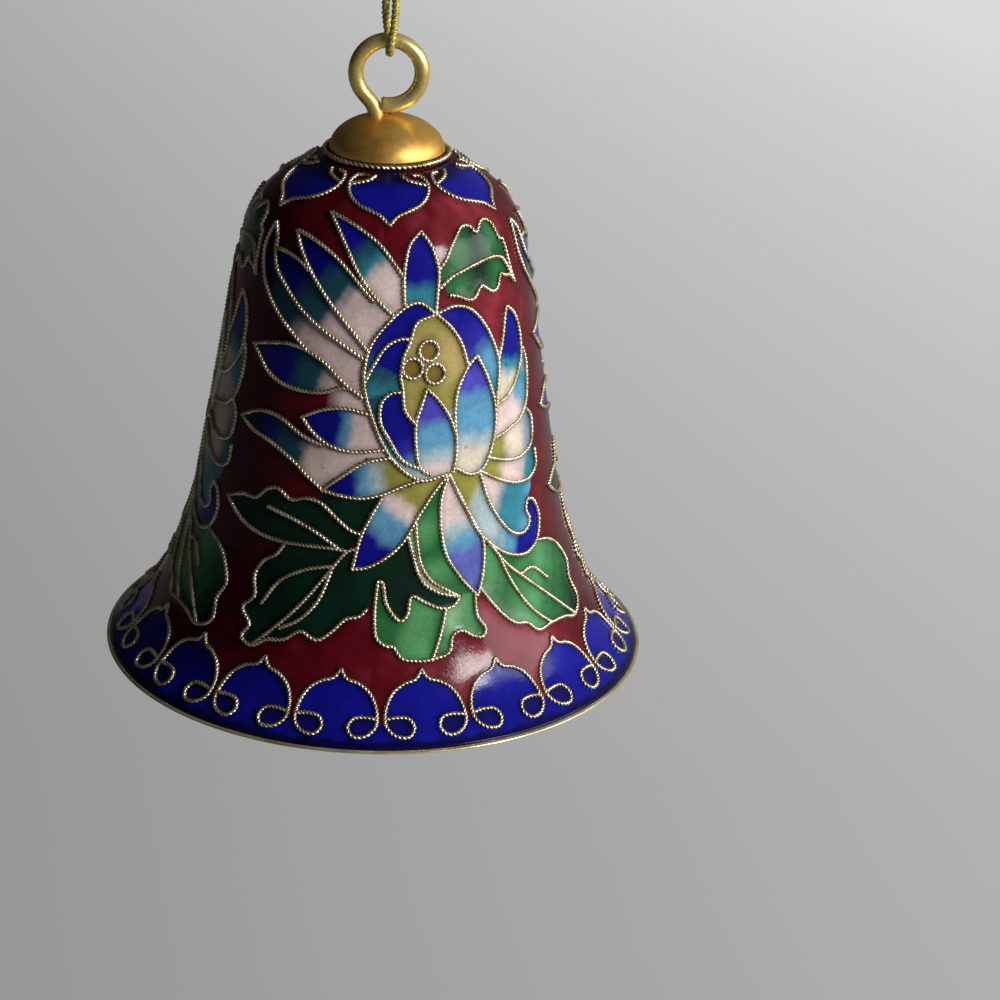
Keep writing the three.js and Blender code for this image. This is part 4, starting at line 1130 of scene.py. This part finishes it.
class BELL_OT_stage(bpy.types.Operator):
    """Camera, backdrop and lamps"""

    bl_idname = "bell.stage"
    bl_label = "Stage"

    def execute(self, context):
        settings = context.scene.bell_stage
        context.scene.camera = self.camera(context)
        corners = [(x * FLOOR_REACH, y * FLOOR_REACH, FLOOR_HEIGHT) for x, y in ((-1, -1), (1, -1), (1, 1), (-1, 1))]
        floor = new_object("backdrop", mesh_from("backdrop", corners, [(0, 1, 2, 3)]), self.paper(settings))
        for name, place, size, colour in LAMPS:
            lamp = self.lamp(context, name, place, size, colour)
            lamp.data.energy = getattr(settings, name + "_power")
            # The back lamp lightens the edges and isn't mirrored in the gloss.
            lamp.visible_glossy = name != "back"
        context.scene.world = self.room(settings)
        context.scene.view_settings.view_transform = "Standard"
        return {"FINISHED"}

    def camera(self, context):
        yaw, pitch, roll = CAMERA_TURN
        forward = Vector((math.sin(yaw) * math.cos(pitch), math.cos(yaw) * math.cos(pitch), -math.sin(pitch)))
        level = Vector((math.cos(yaw), -math.sin(yaw), 0.0))
        upright = level.cross(forward)
        right = level * math.cos(roll) + upright * math.sin(roll)
        up = upright * math.cos(roll) - level * math.sin(roll)
        data = bpy.data.cameras.new("camera")
        data.lens = CAMERA_LENS
        data.sensor_width = 36.0
        data.clip_start = 0.01
        camera = bpy.data.objects.new("camera", data)
        turn = Matrix((right, up, -forward)).transposed().to_4x4()
        camera.matrix_world = Matrix.Translation(CAMERA_PLACE) @ turn
        context.scene.collection.objects.link(camera)
        return camera

    def paper(self, settings):
        """Pale paper that glows as painted light to the camera and in reflections, a little lighter to the right and
        to the back, and as pale as the walls far off.
        """
        paper = bpy.data.materials.new("backdrop_paper")
        paper.use_nodes = True
        tree = paper.node_tree
        shader = tree.nodes["Principled BSDF"]
        feed(tree, shader, {"Roughness": 0.9, "Specular IOR Level": 0.1, "Base Color": (0.4, 0.4, 0.41, 1.0)})
        place = tree.nodes.new("ShaderNodeTexCoord").outputs["Object"]
        split = add_node(tree, "ShaderNodeSeparateXYZ", {"Vector": place}).outputs
        side = number(tree, "MULTIPLY", split["X"], settings.backdrop_slope)
        back = number(tree, "MULTIPLY", split["Y"], 0.19)
        tone = number(tree, "ADD", number(tree, "ADD", side, back), settings.backdrop_tone)
        tone = number(tree, "MINIMUM", number(tree, "MAXIMUM", tone, 0.3), 0.82)
        away = add_node(tree, "ShaderNodeVectorMath", {0: place}, operation="LENGTH").outputs["Value"]
        limits = {"Value": away, "From Min": 2.3, "From Max": 4.0}
        far = add_node(tree, "ShaderNodeMapRange", limits, interpolation_type="SMOOTHSTEP").outputs["Result"]
        near_tone = number(tree, "MULTIPLY", tone, number(tree, "SUBTRACT", 1.0, far))
        tone = number(tree, "MULTIPLY_ADD", far, 0.54, near_tone)
        # Painted light: the paper's own glow, lighter to the right and back, and weaker in reflections on the left.
        glow = add_node(tree, "ShaderNodeEmission", {"Color": tone}).outputs["Emission"]
        ray = tree.nodes.new("ShaderNodeLightPath").outputs
        limits = {"Value": split["X"], "From Min": -0.5, "From Max": 0.4, "To Min": 0.12, "To Max": 0.4}
        reflected_glow = add_node(tree, "ShaderNodeMapRange", limits).outputs["Result"]
        seen = number(tree, "MAXIMUM", ray["Is Camera Ray"], number(tree, "MULTIPLY", ray["Is Glossy Ray"], reflected_glow))
        seen = number(tree, "MAXIMUM", seen, ray["Is Transmission Ray"])
        shaders = {0: number(tree, "MULTIPLY", seen, 0.85), 1: shader.outputs["BSDF"], 2: glow}
        mix = add_node(tree, "ShaderNodeMixShader", shaders).outputs["Shader"]
        feed(tree, tree.nodes["Material Output"], {"Surface": mix})
        return paper

    def room(self, settings):
        """A grey room, lighter on the right, with pale walls to the eye."""
        world = bpy.data.worlds.new("room")
        world.use_nodes = True
        tree = world.node_tree
        place = tree.nodes.new("ShaderNodeTexCoord").outputs["Generated"]
        split = add_node(tree, "ShaderNodeSeparateXYZ", {"Vector": place}).outputs
        share = number(tree, "MULTIPLY_ADD", split["X"], 0.5, 0.5)
        light = tree.nodes["Background"]
        feed(tree, light, {
            "Color": ramp(tree, share, [(0.05, 0.03), (0.5, 0.085), (0.95, 0.7)]), "Strength": settings.room_light,
        })
        wall = add_node(tree, "ShaderNodeBackground", {"Color": (0.465, 0.465, 0.466, 1.0)})
        ray = tree.nodes.new("ShaderNodeLightPath").outputs["Is Camera Ray"]
        shaders = {0: ray, 1: light.outputs["Background"], 2: wall.outputs["Background"]}
        mix = add_node(tree, "ShaderNodeMixShader", shaders).outputs["Shader"]
        feed(tree, tree.nodes["World Output"], {"Surface": mix})
        return world

    def lamp(self, context, name, place, size, colour):
        data = bpy.data.lights.new(name, "AREA")
        data.shape = "RECTANGLE"
        data.size, data.size_y = size
        data.color = colour
        lamp = bpy.data.objects.new(name, data)
        lamp.location = place
        lamp.rotation_euler = (Vector(LAMP_TARGET) - Vector(place)).to_track_quat("-Z", "Y").to_euler()
        context.scene.collection.objects.link(lamp)
        return lamp


class BELL_OT_thread(bpy.types.Operator):
    """Gold thread through the ring, and its knot"""

    bl_idname = "bell.thread"
    bl_label = "Thread"

    def execute(self, context):
        fold = EYE_HEIGHT + EYE_RADIUS
        reach = EYE_WIRE / 2 + THREAD_GAP + THREAD / 2
        side = THREAD_SPREAD
        half = [
            (side, 0, HANG_HEIGHT + KNOT_FOOT), (0.88, 0, HANG_HEIGHT + 0.6), (1.3, 0, HANG_HEIGHT - 0.8),
            (1.1, 0, HANG_HEIGHT - 3.2), (0.58, 0, HANG_HEIGHT - 5.6), (side, 0, HANG_HEIGHT - 8),
            (side, 0, fold + 8), (side, -0.1, fold + 4.4), (side, -0.4, fold + 2.6),
            (0.32, -reach * 0.8, fold + 1.2), (0.1, -reach, fold), (0.03, -reach * 0.71, fold - reach * 0.71),
        ]
        points = half + [(0, 0, fold - reach)] + [(-x, -y, z) for x, y, z in reversed(half)]
        line = placed(smooth_line(points, 12))
        twist = {**THREAD_TWIST, "radius": THREAD / 2 * MM, "pitch": context.scene.bell.thread_pitch}
        cord = strand_object("hanging_thread", [line], "gold_thread", step=0.1 * MM, sides=24, **twist)
        seat(cord, "cord", "thread", "hanging_cord")
        knot = strand_object("thread_knot", self.knot_lines(), "gold_thread", step=0.12 * MM, sides=18, **twist)
        seat(knot, "cord", "thread", "cord_knot")
        return {"FINISHED"}

    def knot_lines(self):
        """An overhand knot of both ends, with short tails."""
        middle = HANG_HEIGHT + KNOT_FOOT + KNOT_MIDDLE
        angle = np.linspace(0, FULL_TURN, 60)
        lines = []
        for lift, turn in ((-0.15, 0.0), (0.2, 0.9)):
            x = 0.55 * (np.sin(angle + turn) + 0.7 * np.sin(2 * (angle + turn)))
            y = 0.5 * (np.cos(angle + turn) - 0.7 * np.cos(2 * (angle + turn)))
            z = middle + lift - 0.75 * np.sin(3 * angle)
            lines.append(placed(np.stack([x, y, z], axis=-1)))
        for side in (-1, 1):
            tail = [(0.25 * side, 0.1, middle + 0.3), (0.35 * side, 0.1, middle + 1.0), (0.5 * side, 0, middle + 1.6)]
            root = [(0.45 * side, 0, middle - 1.75), (0.4 * side, 0, middle - 1.0), (0.2 * side, 0, middle - 0.4)]
            lines += [placed(smooth_line(end)) for end in (tail, root)]
        return lines


class BELL_OT_enamel(bpy.types.Operator):
    """Ground enamel with every coloured cell, and the lining inside"""

    bl_idname = "bell.enamel"
    bl_label = "Enamel"

    def execute(self, context):
        self.ground(context.scene.bell)
        self.lining()
        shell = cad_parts["bell_shell"]
        shell.data.materials.clear()
        shell.data.materials.append(material("bare_copper"))
        return {"FINISHED"}

    def ground(self, settings):
        columns, rows = settings.columns, settings.rows
        run = np.concatenate([[0], np.cumsum(np.linalg.norm(np.diff(WALL, axis=0), axis=1))])
        start = float(np.interp(RIM_TOP, WALL[:, 1], run))
        levels = np.interp(np.linspace(start, run[-1], rows), run, WALL[:, 1])
        circle = np.linspace(0, 360, columns, endpoint=False)
        turns, heights = (side.ravel() for side in np.meshgrid(circle, levels))
        gap = wire_distance(on_wall(turns, heights, 0.0))
        lift = settings.meniscus / MM * np.exp(-gap / MENISCUS_REACH) - ENAMEL_SINK
        # Painted shade: the enamel's colour is halved at each wire and comes back to full over the shade's reach.
        edge = 0.5 + 0.5 * np.clip(gap / WIRE_SHADE_REACH, 0, 1)
        vertices = [on_wall(turns, heights, lift)]
        colours = [enamel_colours(turns, heights) * edge[:, None]]
        back = [(SHANK_HOLE, CROWN_TOP), (SHANK_HOLE, CROWN_TOP - ENAMEL_DEPTH)]
        back += [*under_wall(np.linspace(48, 1.2, 24), ENAMEL_DEPTH), under_rim(ENAMEL_DEPTH)]
        for radius, height in back:
            vertices.append(round_axis(radius, circle, np.full(columns, height)))
            colours.append(np.tile(linear(COLOURS["maroon_deep"]), (columns, 1)))
        colours = np.vstack(colours)
        mesh = closed_mesh("ground_enamel_coat", np.vstack(vertices), closed_faces(rows + len(back), columns))
        layer = mesh.color_attributes.new("enamel_colour", "FLOAT_COLOR", "POINT")
        layer.data.foreach_set("color", np.hstack([colours, np.ones((len(colours), 1))]).ravel())
        add_piece(mesh, "fired_enamel", "bell", "enamel", "ground_enamel")

    def lining(self):
        heights = np.concatenate([np.linspace(1.5, 47, 50), [48.1]])
        face, back = (
            [under_rim(depth), *under_wall(heights, depth), (SHANK_HOLE, CROWN_TOP - depth)]
            for depth in (WALL_DEPTH, LINING_DEPTH)
        )
        mesh = turned_mesh("counter_enamel_coat", face + back[::-1], 160)
        add_piece(mesh, "lining_enamel", "bell", "lining", "counter_enamel")


class BELL_OT_wirework(bpy.types.Operator):
    """Twisted wires of the lappets, flowers and leaves"""

    bl_idname = "bell.wirework"
    bl_label = "Wirework"

    def execute(self, context):
        settings = context.scene.bell
        for name, (copies, lines) in wire_groups().items():
            laid = [on_wall(line[:, 0], line[:, 1], WIRE_LIFT) for line in lines]
            piece = strand_object(
                name + "_twisted", laid, "wire_gilt", copies=copies, radius=settings.wire_radius,
                pitch=settings.wire_pitch, step=0.1 * MM, sides=8, **WIRE_TWIST,
            )
            seat(piece, "bell", "wire", *self.nodes_of(name))
        turns = np.linspace(0, 360, 120, endpoint=False)
        ring = round_axis(CROWN_RING_RADIUS, turns, np.full(len(turns), CROWN_RING_HEIGHT))
        piece = strand_object(
            "crown_ring_twisted", [ring], "wire_gilt", closed=True, radius=CROWN_RING_WIRE / 2 * MM,
            pitch=CROWN_RING_PITCH * MM, step=0.09 * MM, sides=10, **WIRE_TWIST,
        )
        seat(piece, "bell", "wire", "crown_ring_wire")
        return {"FINISHED"}

    def nodes_of(self, name):
        if name == "rim_lappet_wires":
            return [f"rim_lappet_wire_{i + 1:02d}" for i in range(RIM_LAPPETS)]
        if name == "crown_lappet_wires":
            return [f"crown_lappet_wire_{i + 1}" for i in range(CROWN_LAPPETS)]
        return [name]


class BELL_OT_fittings(bpy.types.Operator):
    """Gilt rim band, cap and hanging eye"""

    bl_idname = "bell.fittings"
    bl_label = "Gilt fittings"

    def execute(self, context):
        radius = wall_at(RIM_TOP)[0]
        rim = [
            (RIM_INNER, 0.05), (RIM_INNER + 0.05, 0), (25.8, 0), (25.92, 0.03), (25.98, 0.08), (25.98, 0.13),
            (25.93, 0.18), (radius + 0.16, 0.22), (radius + 0.05, 0.25), (radius - 0.1, 0.26), (RIM_INNER, 0.26),
        ]
        add_piece(turned_mesh("rim_band", rim, 240), "rim_gilt", "bell", "gilt", "rim_ring")

        angle = np.linspace(0, np.pi / 2 - 0.02, 30)
        outer, under = (
            list(zip((CAP_RADIUS - depth) * np.cos(angle), CAP_BASE + (CAP_RISE - depth) * np.sin(angle)))
            for depth in (0.0, CAP_DEPTH)
        )
        lip = [
            (CAP_RADIUS - 0.45, CAP_BASE), (CAP_RADIUS - 0.08, CAP_BASE - 0.02), (CAP_RADIUS + 0.02, CAP_BASE + 0.05),
        ]
        add_piece(turned_mesh("cap_dome", lip + outer[1:] + under[::-1], 96), "cap_gilt", "bell", "gilt", "cap")

        cap_top = CAP_BASE + CAP_RISE
        cap_under = cap_top - CAP_DEPTH
        path = arc_points(EYE_HEIGHT, EYE_RADIUS, EYE_ARC, 48)
        path += [
            (-1.45, 0, EYE_HEIGHT - EYE_RADIUS * 0.98), (-1.1, 0, cap_top), (-1.1, 0, cap_under),
            (-0.5, 0, (cap_under + CROWN_TOP) / 2), (0, 0, CROWN_TOP), (0, 0, CROWN_TOP - WALL_DEPTH - 0.9),
        ]
        path += arc_points(INNER_EYE_HEIGHT, INNER_EYE_RADIUS, INNER_EYE_ARC, 30)
        eye = tube_mesh("hanging_eye", placed(smooth_line(path, 4)), EYE_WIRE, 24)
        add_piece(eye, "ring_gilt", "bell", "gilt", "hanger_eye")
        return {"FINISHED"}


class BELL_OT_clapper(bpy.types.Operator):
    """Washer, link, pin and ball inside the bell"""

    bl_idname = "bell.clapper"
    bl_label = "Clapper"

    def execute(self, context):
        foot, top = (corner[2] / MM + HANG_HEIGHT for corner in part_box("stem_washer"))
        washer = [(0.9, foot), (2.5, foot), (2.6, foot + 0.1), (2.6, top - 0.1), (2.5, top), (0.9, top)]
        self.add(turned_mesh("crown_washer", washer, 48), "bell", "stem_washer")

        angle = np.linspace(0, FULL_TURN, 64)
        ring = np.stack([0 * angle, LINK_RADIUS * np.sin(angle), LINK_HEIGHT - LINK_RADIUS * np.cos(angle)], axis=-1)
        self.add(tube_mesh("wire_link", placed(ring), LINK_WIRE, 16), "clapper_link", "clapper_link")

        path = arc_points(PIN_EYE_HEIGHT, PIN_EYE_RADIUS, PIN_EYE_ARC, 30)
        path += [
            (-0.3, 0, PIN_EYE_HEIGHT - PIN_EYE_RADIUS * 1.3), (0, 0, PIN_EYE_HEIGHT - PIN_EYE_RADIUS * 2),
            (0, 0, BALL_HEIGHT + BALL_RADIUS), (0, 0, BALL_HEIGHT - BALL_RADIUS - 0.3),
        ]
        pin = tube_mesh("clapper_stem", placed(smooth_line(path, 6)), PIN_WIRE, 18)
        self.add(pin, "clapper", "clapper_pin")
        head_top = BALL_HEIGHT - BALL_RADIUS - 0.1
        head = [
            (0.01, head_top - 0.6), (0.8, head_top - 0.58), (1.2, head_top - 0.42), (1.3, head_top - 0.2),
            (1.25, head_top), (0.01, head_top),
        ]
        self.add(turned_mesh("clapper_rivet", head, 48), "clapper")

        lean = math.acos(BALL_HOLE / BALL_RADIUS)
        angle = np.linspace(-lean, lean, 48)
        ball = list(zip(BALL_RADIUS * np.cos(angle), BALL_HEIGHT + BALL_RADIUS * np.sin(angle)))
        self.add(turned_mesh("clapper_bob", ball, 64), "clapper", "clapper_ball")
        return {"FINISHED"}

    def add(self, mesh, body, *nodes):
        add_piece(mesh, "clapper_brass", body, "brass", *nodes)


class BELL_PT_panel(bpy.types.Panel):
    """The ornament's settings and its pieces"""

    bl_idname = "BELL_PT_panel"
    bl_label = "Bell ornament"
    bl_space_type = "VIEW_3D"
    bl_region_type = "UI"
    bl_category = "Bell"

    def draw(self, context):
        for group in (context.scene.bell, context.scene.bell_stage):
            for name in group.__annotations__:
                self.layout.prop(group, name)
        for operator in OPERATORS:
            self.layout.operator(operator.bl_idname)


OPERATORS = (BELL_OT_stage, BELL_OT_thread, BELL_OT_enamel, BELL_OT_wirework, BELL_OT_fittings, BELL_OT_clapper)
CLASSES = (BellSettings, StageSettings, *OPERATORS, BELL_PT_panel)


def register():
    for cls in CLASSES:
        bpy.utils.register_class(cls)
    bpy.types.Scene.bell = bpy.props.PointerProperty(type=BellSettings)
    bpy.types.Scene.bell_stage = bpy.props.PointerProperty(type=StageSettings)


def unregister():
    del bpy.types.Scene.bell
    del bpy.types.Scene.bell_stage
    for cls in reversed(CLASSES):
        bpy.utils.unregister_class(cls)


def main():
    register()
    bpy.ops.bell.stage()
    bpy.ops.bell.thread()
    bpy.ops.bell.enamel()
    bpy.ops.bell.wirework()
    bpy.ops.bell.fittings()
    bpy.ops.bell.clapper()


if __name__ == "__main__":
    main()
